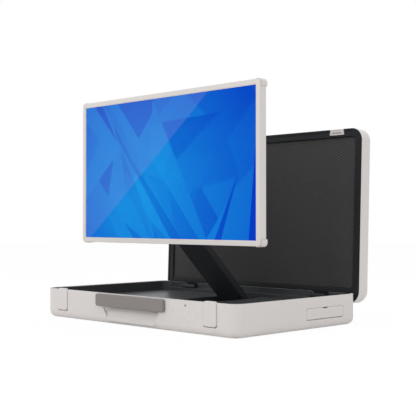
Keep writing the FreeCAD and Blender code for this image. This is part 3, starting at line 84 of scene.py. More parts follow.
class Graph:
    """A node tree that is being filled."""

    def __init__(self, tree: bpy.types.NodeTree) -> None:
        """Keeps the tree that new nodes go into."""
        self.tree = tree

    def feed(self, socket: bpy.types.NodeSocket, source: object) -> None:
        """Links a socket to another one, or sets its value."""
        if isinstance(source, bpy.types.NodeSocket):
            self.tree.links.new(source, socket)
        else:
            socket.default_value = source

    def add(self, kind: str, sockets: dict | None = None, **settings: object) -> bpy.types.Node:
        """Adds a node.

        Args:
            kind: the node's type name.
            sockets: what goes into its input sockets, by name or by number.
            settings: its properties.

        Returns:
            The new node.
        """
        node = self.tree.nodes.new(kind)
        for name, value in settings.items():
            setattr(node, name, value)
        for name, source in (sockets or {}).items():
            self.feed(node.inputs[name], source)
        return node

    def math(self, operation: str, *terms: object) -> bpy.types.NodeSocket:
        """Adds one sum and returns its result."""
        return self.add("ShaderNodeMath", dict(enumerate(terms)), operation=operation).outputs[0]

    def mix(self, share: object, first: object, second: object) -> bpy.types.NodeSocket:
        """Mixes two colours and returns the result."""
        node = self.add("ShaderNodeMix", {0: share, 6: first, 7: second}, data_type="RGBA")
        return node.outputs[2]

    def span(self, value: object, start: float, stop: float, low: float, high: float) -> bpy.types.NodeSocket:
        """Maps a value from start..stop to low..high, held at the ends.

        Args:
            value: the socket to map.
            start: the value that becomes low.
            stop: the value that becomes high.
            low: the result at start.
            high: the result at stop.

        Returns:
            The mapped value.
        """
        sockets = {"Value": value, "From Min": start, "From Max": stop, "To Min": low, "To Max": high}
        return self.add("ShaderNodeMapRange", sockets).outputs["Result"]

    def here(self) -> bpy.types.NodeSocket:
        """Returns the place on the surface, in object coordinates."""
        return self.add("ShaderNodeTexCoord").outputs["Object"]

    def noise(self, vector: object, scale: object, detail: float = 2.0) -> bpy.types.NodeSocket:
        """Adds a cloud noise and returns its level."""
        sockets = {"Vector": vector, "Scale": scale, "Detail": detail}
        return self.add("ShaderNodeTexNoise", sockets).outputs["Fac"]

    def stretched(self, vector: object, scale: tuple[float, float, float]) -> bpy.types.NodeSocket:
        """Returns a place whose axes are scaled one by one."""
        return self.add("ShaderNodeMapping", {"Vector": vector, "Scale": scale}).outputs["Vector"]


class Effect:
    """A shader node group that is built once and placed in every finish that needs it."""

    title: ClassVar[str] = ""
    takes: ClassVar[dict[str, str]] = {}
    gives: ClassVar[dict[str, str]] = {}

    @classmethod
    def wire(cls, graph: Graph, taken: bpy.types.NodeOutputs) -> dict[str, bpy.types.NodeSocket]:
        """Fills the group.

        Args:
            graph: the group's own tree.
            taken: the group's inputs.

        Returns:
            What goes to each of the group's outputs.
        """
        raise NotImplementedError

    @classmethod
    def built(cls) -> bpy.types.NodeTree:
        """Returns the group's tree, made at its first use."""
        tree = bpy.data.node_groups.get(cls.title)
        if tree is not None:
            return tree
        tree = bpy.data.node_groups.new(cls.title, "ShaderNodeTree")
        for way, sockets in (("INPUT", cls.takes), ("OUTPUT", cls.gives)):
            for name, kind in sockets.items():
                tree.interface.new_socket(name=name, in_out=way, socket_type=kind)
        graph = Graph(tree)
        taken = graph.add("NodeGroupInput").outputs
        given = graph.add("NodeGroupOutput").inputs
        for name, source in cls.wire(graph, taken).items():
            graph.feed(given[name], source)
        return tree

    @classmethod
    def place(cls, graph: Graph, **values: object) -> bpy.types.NodeOutputs:
        """Adds the group to a finish with its own values, and returns its outputs."""
        return graph.add("ShaderNodeGroup", values, node_tree=cls.built()).outputs


class MouldGrain(Effect):
    """The fine pitted texture that a spark-eroded mould leaves."""

    title = "Mould grain"
    takes = {"Vector": "NodeSocketVector", "Size": "NodeSocketFloat"}
    gives = {"Height": "NodeSocketFloat", "Shade": "NodeSocketFloat"}

    @classmethod
    def wire(cls, graph: Graph, taken: bpy.types.NodeOutputs) -> dict[str, bpy.types.NodeSocket]:
        """Lays small pits over a fine cloud."""
        scale = graph.math("DIVIDE", 1 / MM, taken["Size"])
        cloud = graph.noise(taken["Vector"], scale, 3.0)
        pits = graph.add("ShaderNodeTexVoronoi", {"Vector": taken["Vector"], "Scale": scale})
        height = graph.math("MULTIPLY_ADD", pits.outputs["Distance"], 0.6, cloud)
        return {"Height": height, "Shade": cloud}


class HandFilm(Effect):
    """The faint uneven film that hands and wiping leave."""

    title = "Hand film"
    takes = {"Vector": "NodeSocketVector", "Scale": "NodeSocketFloat"}
    gives = {"Mask": "NodeSocketFloat"}

    @classmethod
    def wire(cls, graph: Graph, taken: bpy.types.NodeOutputs) -> dict[str, bpy.types.NodeSocket]:
        """Breaks a broad cloud up with a finer one."""
        broad = graph.noise(taken["Vector"], taken["Scale"], 4.0)
        fine = graph.noise(taken["Vector"], graph.math("MULTIPLY", taken["Scale"], 7.0), 2.0)
        both = graph.math("MULTIPLY_ADD", fine, 0.35, broad)
        return {"Mask": graph.span(both, 0.5, 0.85, 0.0, 1.0)}


class EdgeRubAndHighlight(Effect):
    """Edges rounded in shading, with a mask that makes them lighter: edge wear and a painted highlight."""

    title = "Edge rub"
    takes = {"Vector": "NodeSocketVector", "Radius": "NodeSocketFloat"}
    gives = {"Mask": "NodeSocketFloat", "Normal": "NodeSocketVector"}

    @classmethod
    def wire(cls, graph: Graph, taken: bpy.types.NodeOutputs) -> dict[str, bpy.types.NodeSocket]:
        """Compares the rounded normal with the plain one."""
        radius = graph.math("MULTIPLY", taken["Radius"], MM)
        rounded = graph.add("ShaderNodeBevel", {"Radius": radius}, samples=4).outputs["Normal"]
        plain = graph.add("ShaderNodeNewGeometry").outputs["Normal"]
        dot = graph.add("ShaderNodeVectorMath", {0: rounded, 1: plain}, operation="DOT_PRODUCT")
        bend = graph.span(dot.outputs["Value"], 1.0, 0.8, 0.0, 1.0)
        patches = graph.span(graph.noise(taken["Vector"], 45.0, 3.0), 0.35, 0.65, 0.35, 1.0)
        return {"Mask": graph.math("MULTIPLY", bend, patches), "Normal": rounded}


class DrawnLines(Effect):
    """Fine parallel lines, as brushing, drawing or rolling leave on metal."""

    title = "Drawn lines"
    takes = {"Vector": "NodeSocketVector", "Size": "NodeSocketFloat"}
    gives = {"Height": "NodeSocketFloat"}

    @classmethod
    def wire(cls, graph: Graph, taken: bpy.types.NodeOutputs) -> dict[str, bpy.types.NodeSocket]:
        """Stretches a fine noise along X."""
        lines = graph.stretched(taken["Vector"], (0.03, 1.0, 1.0))
        return {"Height": graph.noise(lines, graph.math("DIVIDE", 1 / MM, taken["Size"]), 3.0)}


# Finishes


@dataclass(frozen=True)
class Finish:
    """A surface finish whose material is made at its first use."""

    title: str
    slot: str

    def paint(self, graph: Graph, shader: bpy.types.Node) -> None:
        """Joins the finish's nodes to the shader.

        Args:
            graph: the material's tree.
            shader: its Principled BSDF.
        """
        raise NotImplementedError

    def material(self) -> bpy.types.Material:
        """Returns the finish's material."""
        made = bpy.data.materials.get(self.title)
        if made is not None:
            return made
        made = bpy.data.materials.new(self.title)
        made.use_nodes = True
        made.node_tree.nodes.clear()
        graph = Graph(made.node_tree)
        shader = graph.add("ShaderNodeBsdfPrincipled")
        graph.add("ShaderNodeOutputMaterial", {"Surface": shader.outputs["BSDF"]})
        self.paint(graph, shader)
        return made

    def dress_nodes(self, *names: str) -> None:
        """Gives the finish to CAD nodes, in their objects' own slots."""
        for name in names:
            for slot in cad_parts[name].material_slots:
                slot.material = self.material()
            LOG.info("node %s: %s", name, self.title)

    def dress(self, piece: bpy.types.Object) -> None:
        """Gives the finish to a new piece."""
        piece.data.materials.clear()
        piece.data.materials.append(self.material())


@dataclass(frozen=True)
class Moulding(Finish):
    """Moulded plastic or rubber: pitted grain, a hand film, and edges made lighter as wear and as a painted highlight.
    """

    colour: Colour
    roughness: float = 0.5
    specular: float = 0.3
    grain: float = 0.7
    depth: float = 0.03
    film: float = 0.25
    rub_and_highlight: float = 0.25
    edge: float = 0.7

    def paint(self, graph: Graph, shader: bpy.types.Node) -> None:
        """Tints the colour by grain and film, and makes the edges lighter as wear and as a painted highlight.

        Args:
            graph: the material's tree.
            shader: its Principled BSDF.
        """
        here = graph.here()
        grain = MouldGrain.place(graph, Vector=here, Size=self.grain)
        film = HandFilm.place(graph, Vector=here, Scale=9.0)["Mask"]
        edge = EdgeRubAndHighlight.place(graph, Vector=here, Radius=self.edge)
        flecks = graph.span(grain["Shade"], 0.3, 0.7, 0.0, 1.0)
        body = graph.mix(flecks, toned(self.colour, 0.965), toned(self.colour, 1.035))
        handled = graph.mix(graph.math("MULTIPLY", film, self.film), body, toned(self.colour, 0.93))
        # Edges made lighter by the edge mask: partly wear, partly a painted highlight.
        rubbed_and_highlit = graph.mix(graph.math("MULTIPLY", edge["Mask"], self.rub_and_highlight), handled, toned(self.colour, 1.25))
        graph.feed(shader.inputs["Base Color"], rubbed_and_highlit)
        rough = graph.span(film, 0.0, 1.0, self.roughness + 0.04, self.roughness - 0.06)
        graph.feed(shader.inputs["Roughness"], rough)
        sockets = {"Height": grain["Height"], "Normal": edge["Normal"], "Distance": self.depth * MM, "Strength": 0.6}
        graph.feed(shader.inputs["Normal"], graph.add("ShaderNodeBump", sockets).outputs["Normal"])
        shader.inputs["Specular IOR Level"].default_value = self.specular


class Working(Enum):
    """How a metal surface was made: the size of its marks and their depth, in mm."""

    DRAWN = (0.35, 0.01)
    ROLLED = (0.8, 0.008)


@dataclass(frozen=True)
class Metal(Finish):
    """Bare metal, with the marks of how it was made, cloudy tarnish, and edges made lighter as wear and as a painted
    highlight.
    """

    colour: Colour
    roughness: float
    working: Working

    def paint(self, graph: Graph, shader: bpy.types.Node) -> None:
        """Varies colour and roughness by the working marks.

        Args:
            graph: the material's tree.
            shader: its Principled BSDF.
        """
        size, depth = self.working.value
        here = graph.here()
        height = DrawnLines.place(graph, Vector=here, Size=size)["Height"]
        tarnish = HandFilm.place(graph, Vector=here, Scale=30.0)["Mask"]
        edge = EdgeRubAndHighlight.place(graph, Vector=here, Radius=0.4)
        marks = graph.span(height, 0.3, 0.9, 0.0, 1.0)
        body = graph.mix(marks, toned(self.colour, 0.88), toned(self.colour, 1.08))
        dulled = graph.mix(graph.math("MULTIPLY", tarnish, 0.4), body, toned(self.colour, 0.7))
        # Edges made lighter by the edge mask: wear and a painted highlight.
        graph.feed(shader.inputs["Base Color"], graph.mix(edge["Mask"], dulled, toned(self.colour, 1.2)))
        graph.feed(shader.inputs["Roughness"], graph.span(tarnish, 0.0, 1.0, self.roughness, self.roughness + 0.15))
        sockets = {"Height": height, "Normal": edge["Normal"], "Distance": depth * MM, "Strength": 0.5}
        graph.feed(shader.inputs["Normal"], graph.add("ShaderNodeBump", sockets).outputs["Normal"])
        shader.inputs["Metallic"].default_value = 1.0


@dataclass(frozen=True)
class ArcLining(Finish):
    """Dark woven lining with fine raised cords that run in wide arcs, painted lighter on the crests and darker in the
    valleys as highlight and shade.
    """

    valley_shade: Colour
    crest_highlight: Colour
    centre: tuple[float, float, float]
    pitch: float = 6.2

    def paint(self, graph: Graph, shader: bpy.types.Node) -> None:
        """Draws the cords as rings round a far centre, crossed by fine stitches, with painted highlight on the crests
        and painted shade in the valleys.

        Args:
            graph: the material's tree.
            shader: its Principled BSDF.
        """
        here = graph.here()
        offset = graph.add("ShaderNodeVectorMath", {0: here, 1: self.centre}, operation="SUBTRACT")
        reach = graph.add("ShaderNodeVectorMath", {0: offset.outputs[0]}, operation="LENGTH").outputs["Value"]
        wander = graph.math("MULTIPLY", graph.noise(here, 14.0), 0.8 * MM)
        turns = graph.math("MULTIPLY", graph.math("ADD", reach, wander), math.tau / (self.pitch * MM))
        cord = graph.span(graph.math("SINE", turns), -1.0, 1.0, 0.0, 1.0)
        weave = graph.noise(here, 1 / (0.9 * MM), 2.0)
        # Painted light: the crests take the highlight colour and the valleys the shade colour.
        lit = graph.math("MULTIPLY", cord, graph.span(weave, 0.3, 0.7, 0.55, 1.0))
        film = HandFilm.place(graph, Vector=here, Scale=6.0)["Mask"]
        cords = graph.mix(lit, self.valley_shade, self.crest_highlight)
        graph.feed(shader.inputs["Base Color"], graph.mix(graph.math("MULTIPLY", film, 0.2), cords, self.crest_highlight))
        height = graph.math("MULTIPLY_ADD", weave, 0.3, cord)
        sockets = {"Height": height, "Distance": 0.25 * MM, "Strength": 0.6}
        graph.feed(shader.inputs["Normal"], graph.add("ShaderNodeBump", sockets).outputs["Normal"])
        graph.feed(shader.inputs["Roughness"], graph.span(weave, 0.3, 0.7, 0.75, 0.9))
        shader.inputs["Specular IOR Level"].default_value = 0.15


@dataclass(frozen=True)
class LitPicture(Finish):
    """The lit display: blue facets round a glow, with a painted glare reflection that lightens the corner past a
    slanted line.
    """

    deep: Colour
    bright: Colour
    glare_colour: Colour
    glow: tuple[float, float, float]
    reach: float
    glare_line_start: Vector
    glare_line_stop: Vector

    def paint(self, graph: Graph, shader: bpy.types.Node) -> None:
        """Mixes glow, facet shades and the painted glare reflection into the emitted colour.

        Args:
            graph: the material's tree.
            shader: its Principled BSDF.
        """
        here = graph.here()
        offset = graph.add("ShaderNodeVectorMath", {0: here, 1: self.glow}, operation="SUBTRACT")
        far = graph.add("ShaderNodeVectorMath", {0: offset.outputs[0]}, operation="LENGTH").outputs["Value"]
        light = graph.span(far, 0.0, self.reach, 0.95, 0.0)
        facet = graph.add("ShaderNodeVertexColor", layer_name=FACET_SHADE).outputs["Color"]
        shade = graph.add("ShaderNodeSeparateColor", {"Color": facet}).outputs[0]
        level = graph.math("MULTIPLY_ADD", graph.math("SUBTRACT", shade, 0.5), 0.6, light)
        picture = graph.mix(graph.span(level, -0.15, 1.1, 0.0, 1.0), self.deep, self.bright)
        # Painted glare: a reflection on the glass, painted into the picture as a pale wash past a slanted line.
        along = self.glare_line_stop - self.glare_line_start
        across = Vector((-along.z, 0.0, along.x)).normalized()
        side = graph.add("ShaderNodeVectorMath", {0: here, 1: across}, operation="DOT_PRODUCT").outputs["Value"]
        past_glare_line = graph.math("SUBTRACT", across.dot(self.glare_line_start), side)
        glare_share = graph.math("MULTIPLY", graph.math("GREATER_THAN", past_glare_line, 0.0),
                            graph.span(past_glare_line, 0.0, 0.4, 0.22, 0.14))
        shown = graph.mix(glare_share, picture, self.glare_colour)
        rows = graph.add("ShaderNodeTexWave", {"Vector": here, "Scale": 1 / (1.2 * MM)}, bands_direction="Z")
        graph.feed(shader.inputs["Emission Color"],
                   graph.mix(graph.math("MULTIPLY", rows.outputs["Fac"], 0.02), shown, toned(self.deep, 0.5)))
        shader.inputs["Base Color"].default_value = ink(2, 3, 5)
        shader.inputs["Emission Strength"].default_value = 1.0
        graph.feed(shader.inputs["Roughness"], graph.span(rows.outputs["Fac"], 0.0, 1.0, 0.35, 0.45))
        shader.inputs["Specular IOR Level"].default_value = 0.0


@dataclass(frozen=True)
class CoatedGlass(Finish):
    """Clear cover glass with an anti-glare coating and a few wiping marks."""

    tint: Colour
    ior: float = 1.03

    def paint(self, graph: Graph, shader: bpy.types.Node) -> None:
        """Varies the gloss and tint by the wiping marks.

        Args:
            graph: the material's tree.
            shader: its Principled BSDF.
        """
        film = HandFilm.place(graph, Vector=graph.here(), Scale=8.0)["Mask"]
        graph.feed(shader.inputs["Base Color"], graph.mix(film, self.tint, toned(self.tint, 0.985)))
        graph.feed(shader.inputs["Roughness"], graph.span(film, 0.0, 1.0, 0.0, 0.02))
        shader.inputs["Transmission Weight"].default_value = 1.0
        shader.inputs["IOR"].default_value = self.ior


@dataclass(frozen=True)
class Lacquer(Finish):
    """Circuit board: solder lacquer over copper tracks and pads."""

    lacquer: Colour
    copper: Colour

    def paint(self, graph: Graph, shader: bpy.types.Node) -> None:
        """Shows tracks as raised lines under the lacquer, and bare pads.

        Args:
            graph: the material's tree.
            shader: its Principled BSDF.
        """
        here = graph.here()
        cells = graph.add("ShaderNodeTexVoronoi", {"Vector": here, "Scale": 1 / (6 * MM)},
                          feature="DISTANCE_TO_EDGE", distance="EUCLIDEAN").outputs["Distance"]
        tracks = graph.span(cells, 0.03, 0.06, 1.0, 0.0)
        dots = graph.add("ShaderNodeTexVoronoi", {"Vector": here, "Scale": 1 / (4 * MM), "Randomness": 0.2})
        pads = graph.span(dots.outputs["Distance"], 0.16, 0.2, 1.0, 0.0)
        coated = graph.mix(tracks, self.lacquer, toned(self.lacquer, 1.9))
        graph.feed(shader.inputs["Base Color"], graph.mix(pads, coated, self.copper))
        graph.feed(shader.inputs["Roughness"], graph.span(pads, 0.0, 1.0, 0.35, 0.25))
        sockets = {"Height": graph.math("ADD", tracks, pads), "Distance": 0.05 * MM}
        graph.feed(shader.inputs["Normal"], graph.add("ShaderNodeBump", sockets).outputs["Normal"])


@dataclass(frozen=True)
class WovenTape(Finish):
    """Woven tape: warp and weft threads crossing, painted lighter on the raised crossings and darker between them."""

    thread: Colour

    def paint(self, graph: Graph, shader: bpy.types.Node) -> None:
        """Crosses two sets of fine waves, and paints the crossings lighter and the gaps darker as highlight and shade.

        Args:
            graph: the material's tree.
            shader: its Principled BSDF.
        """
        here = graph.here()
        waves = [graph.add("ShaderNodeTexWave", {"Vector": here, "Scale": 1 / (3 * MM)},
                           bands_direction=axis).outputs["Fac"] for axis in ("X", "Y")]
        weave = graph.math("MULTIPLY", *waves)
        # Painted light: one thread colour made lighter and darker by the weave's height.
        graph.feed(shader.inputs["Base Color"], graph.mix(weave, toned(self.thread, 0.7), toned(self.thread, 1.5)))
        graph.feed(shader.inputs["Roughness"], graph.span(weave, 0.0, 1.0, 0.8, 0.95))
        sockets = {"Height": weave, "Distance": 0.2 * MM}
        graph.feed(shader.inputs["Normal"], graph.add("ShaderNodeBump", sockets).outputs["Normal"])


BEIGE = ink(209, 204, 201)
SCREEN_BEIGE = ink(210, 205, 201)
FACET_SHADE = "facet_shade"

# The case's edges are made much lighter: rim wear and a painted highlight line along the rims.
CASE = Moulding("Beige case moulding", "case_beige", BEIGE, roughness=0.42, specular=0.35, rub_and_highlight=0.6,
                edge=1.3)
SCREEN_CASE = Moulding("Pale screen moulding", "screen_beige", SCREEN_BEIGE, roughness=0.4, specular=0.35)
BUMPER = Moulding("Soft pale bumper", "bumper_grey", ink(208, 203, 199), roughness=0.5, grain=0.9, edge=1.0)
TAUPE = Moulding("Taupe soft-touch grip", "grip_taupe", ink(133, 127, 124), roughness=0.62, specular=0.2, grain=0.5)
# One black in two copies: the tray's is painted lighter against the shade inside the case, the lid trim's darker where
# it faces the lamps.
TRAY_PAINTED_LIGHTER = Moulding("Black tray moulding", "tray_black", ink(62, 64, 67), roughness=0.36, specular=0.35, grain=0.9)
LID_TRIM_PAINTED_DARKER = Moulding("Black lid trim", "tray_black", ink(34, 36, 38), roughness=0.5, specular=0.18, grain=0.6, edge=1.0)
ARM = Moulding("Black arm lacquer", "arm_black", ink(50, 52, 55), roughness=0.42, specular=0.2, grain=0.4, depth=0.01,
               rub_and_highlight=0.35, edge=1.2)
RUBBER = Moulding("Black rubber", "rubber_black", ink(30, 30, 31), roughness=0.8, specular=0.15, grain=1.2)
POST = Moulding("Grey moulded post", "post_grey", ink(92, 94, 97), roughness=0.5)
BUTTON = Moulding("Dark button cap", "button_grey", ink(96, 92, 90), roughness=0.4, grain=0.3, rub_and_highlight=0.1, edge=0.2)
LENS = Moulding("Clear light pipe", "light_pipe", ink(172, 168, 164), roughness=0.2, grain=0.3, rub_and_highlight=0.0, edge=0.1)
CELL_WRAP = Moulding("Blue cell wrap", "battery_blue", ink(38, 74, 128), roughness=0.3, grain=2.5, depth=0.08)
# A pale cream ring round the glass: a painted highlight for the lit inner edge of the bezel.
BEZEL_HIGHLIGHT = Moulding("Cream bezel trim", "screen_beige", ink(236, 222, 205), roughness=0.4, grain=0.5, edge=0.3)
# Near-black vent mouths: painted shade standing for the dark inside the vent openings.
VENT_SHADE = Moulding("Dark vent mouth", "tray_black", ink(20, 20, 21), roughness=0.8, specular=0.1)
HINGE = Moulding("Black hinge lacquer", "hinge_alloy", ink(32, 33, 35), roughness=0.45, specular=0.25, grain=1.4,
                 depth=0.05, edge=0.5)
STEEL = Metal("Drawn steel", "steel", ink(168, 168, 170), 0.28, Working.DRAWN)
SCREW = Metal("Zinced screw steel", "screw_steel", ink(150, 150, 152), 0.34, Working.ROLLED)
SHEET = Metal("Rolled light alloy", "light_alloy", ink(198, 199, 202), 0.32, Working.ROLLED)
BRASS = Metal("Turned brass", "brass_bush", ink(190, 150, 82), 0.26, Working.DRAWN)
PLATED = Metal("Plated socket shell", "socket_metal", ink(176, 177, 180), 0.25, Working.ROLLED)
# The lining's darker colour is painted shade in the valleys, its lighter one painted highlight on the crests.
LINING = ArcLining("Arc-corded lining", "lid_texture", ink(54, 54, 55), ink(82, 82, 81), (0.55, 0.22, -0.18))
GLASS = CoatedGlass("Coated cover glass", "glass_clear", ink(252, 253, 255))
BOARD = Lacquer("Green board lacquer", "board_green", ink(22, 74, 48), ink(196, 152, 92))
TAPE = WovenTape("Black woven tape", "strap_black", ink(32, 32, 34))


# Modelling


class Bench:
    """Shapes new meshes with Blender's modelling operators, as by hand."""

    @staticmethod
    def clear() -> None:
        """Leaves nothing selected, so that an operator acts on the new piece alone."""
        bpy.ops.object.select_all(action="DESELECT")

    @staticmethod
    def started(name: str, scale: tuple[float, float, float]) -> bpy.types.Object:
        """Names the primitive just added and applies its size.

        Args:
            name: the piece's name.
            scale: how much the primitive is stretched along each axis.

        Returns:
            The piece.
        """
        piece = bpy.context.object
        piece.name = name
        piece.scale = scale
        bpy.ops.object.transform_apply(location=True, rotation=True, scale=True)
        return piece

    @staticmethod
    def edit(piece: bpy.types.Object, pick: FaceTest) -> None:
        """Enters edit mode with the faces that pass a test selected.

        Args:
            piece: the piece to edit.
            pick: says of a face whether it is selected.
        """
        Bench.clear()
        piece.select_set(True)
        bpy.context.view_layer.objects.active = piece
        bpy.context.tool_settings.mesh_select_mode = (False, False, True)
        for part in (piece.data.vertices, piece.data.edges):
            part.foreach_set("select", [False] * len(part))
        piece.data.polygons.foreach_set("select", [bool(pick(face)) for face in piece.data.polygons])
        bpy.ops.object.mode_set(mode="EDIT")

    @staticmethod
    def leave(face_out: bool = True) -> None:
        """Leaves edit mode, with every face made to point outwards first."""
        if face_out:
            bpy.ops.mesh.select_all(action="SELECT")
            bpy.ops.mesh.normals_make_consistent(inside=False)
        bpy.ops.object.mode_set(mode="OBJECT")

    @staticmethod
    def soften(piece: bpy.types.Object, width: float, segments: int = 2) -> None:
        """Rounds a piece's sharp edges with an applied bevel, and smooths its shading.

        Args:
            piece: the piece.
            width: the bevel's width in metres.
            segments: how many faces go round each edge.
        """
        Bench.clear()
        piece.select_set(True)
        bpy.context.view_layer.objects.active = piece
        bevel = piece.modifiers.new("Soft edges", "BEVEL")
        bevel.width = width
        bevel.segments = segments
        bevel.angle_limit = math.radians(40)
        bpy.ops.object.modifier_apply(modifier=bevel.name)
        bpy.ops.object.shade_smooth_by_angle(angle=math.radians(35))

    @staticmethod
    def ring(name: str, half: tuple[float, float], corner: float, width: float, depth: float,
             soft: float, sill: float = 0.0) -> bpy.types.Object:
        """Models a flat rounded-rectangle ring that stands on the XY plane.

        Args:
            name: the piece's name.
            half: the outer half sizes along X and Y.
            corner: the outer corner radius.
            width: how wide the ring's band is.
            depth: how far it stands up from the plane.
            soft: the rounding of its edges.
            sill: how much wider the band is on its +Y side.

        Returns:
            The ring, centred on the origin.
        """
        Bench.clear()
        bpy.ops.mesh.primitive_plane_add(size=2.0)
        piece = Bench.started(name, (*half, 1.0))
        Bench.edit(piece, lambda face: True)
        bpy.ops.mesh.bevel(offset=corner, segments=6, affect="VERTICES")
        bpy.ops.mesh.inset(thickness=width)
        bpy.ops.object.mode_set(mode="OBJECT")
        inner = next(face for face in piece.data.polygons if face.select)
        for vertex in (piece.data.vertices[k] for k in inner.vertices):
            vertex.co.y -= sill if vertex.co.y > 0.0 else 0.0
        window = inner.index
        Bench.edit(piece, lambda face: face.index == window)
        bpy.ops.mesh.delete(type="FACE")
        bpy.ops.mesh.select_all(action="SELECT")
        bpy.ops.mesh.extrude_region_move(TRANSFORM_OT_translate={"value": (0.0, 0.0, depth)})
        Bench.leave()
        Bench.soften(piece, soft)
        return piece

    @staticmethod
    def copies(source: bpy.types.Object, name: str, places: list[Matrix]) -> bpy.types.Object:
        """Joins copies of a piece, each with its own mesh, and removes the piece they came from.

        Args:
            source: the piece modelled once.
            name: the name of the joined piece.
            places: where each copy goes.

        Returns:
            The joined piece.
        """
        made = []
        for place in places:
            twin = source.copy()
            twin.data = source.data.copy()
            twin.data.transform(place)
            bpy.context.collection.objects.link(twin)
            made.append(twin)
        bpy.data.objects.remove(source)
        Bench.clear()
        for twin in made:
            twin.select_set(True)
        bpy.context.view_layer.objects.active = made[0]
        bpy.ops.object.join()
        made[0].name = name
        return made[0]


def islands(node: str) -> list[Vector]:
    """Finds the separate solids of a CAD node.

    Args:
        node: the node's name.

    Returns:
        The middle of each solid's box, in the row frame.
    """
    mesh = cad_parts[node].data
    spots: dict[tuple[int, ...], int] = {}
    spot_of = [spots.setdefault(tuple(round(c / (0.01 * MM)) for c in v.co), len(spots)) for v in mesh.vertices]
    parent = list(range(len(spots)))

    def root(k: int) -> int:
        """Follows a spot to the one that stands for its solid."""
        while parent[k] != k:
            k = parent[k]
        return k

    for face in mesh.polygons:
        first, *others = (root(spot_of[v]) for v in face.vertices)
        for other in others:
            parent[root(other)] = root(first)
    solids: dict[int, list[Vector]] = {}
    for vertex in mesh.vertices:
        solids.setdefault(root(spot_of[vertex.index]), []).append(vertex.co)
    return [Vector([(min(p[a] for p in points) + max(p[a] for p in points)) / 2 for a in range(3)])
            for points in solids.values()]


class Assembly:
    """One part of the object: it dresses its CAD nodes and adds its own pieces."""

    body: ClassVar[str] = ""

    def fit(self, piece: bpy.types.Object, finish: Finish, *stands_for: str) -> None:
        """Dresses a new piece and lets it ride on the assembly's body.

        Args:
            piece: the new piece, in place.
            finish: its finish.
            stands_for: the CAD nodes it replaces.
        """
        finish.dress(piece)
        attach(piece, self.body)
        if stands_for:
            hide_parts(*stands_for)
        LOG.info("piece %s rides on %s, %d faces", piece.name, self.body, len(piece.data.polygons))

    def build(self) -> None:
        """Dresses the CAD nodes and adds the new pieces."""
        raise NotImplementedError


def star_screw(name: str, radius: float, height: float) -> bpy.types.Object:
    """Models a screw head with a six-lobed recess, its top facing up at the origin.

    Args:
        name: the piece's name.
        radius: the head's radius.
        height: how deep the head goes below the origin.

    Returns:
        The screw head.
    """
    lobes = 6
    Bench.clear()
    bpy.ops.mesh.primitive_cylinder_add(vertices=lobes * 4, radius=radius, depth=height,
                                        location=(0.0, 0.0, -height / 2))
    piece = Bench.started(name, (1.0, 1.0, 1.0))
    Bench.edit(piece, lambda face: face.normal.z > 0.9)
    bpy.ops.mesh.inset(thickness=radius * 0.45)
    bpy.ops.object.mode_set(mode="OBJECT")
    for vertex in piece.data.vertices:
        reach = vertex.co.xy.length
        turn = math.atan2(vertex.co.y, vertex.co.x)
        if vertex.co.z > -height / 2 and reach < radius * 0.8:
            vertex.co.xy *= 1.0 + 0.16 * math.cos(lobes * turn)
    Bench.edit(piece, lambda face: face.normal.z > 0.9 and face.center.xy.length < radius * 0.1)
    bpy.ops.mesh.extrude_region_move(TRANSFORM_OT_translate={"value": (0.0, 0.0, -height * 0.55)})
    Bench.leave()
    Bench.soften(piece, radius * 0.06)
    return piece


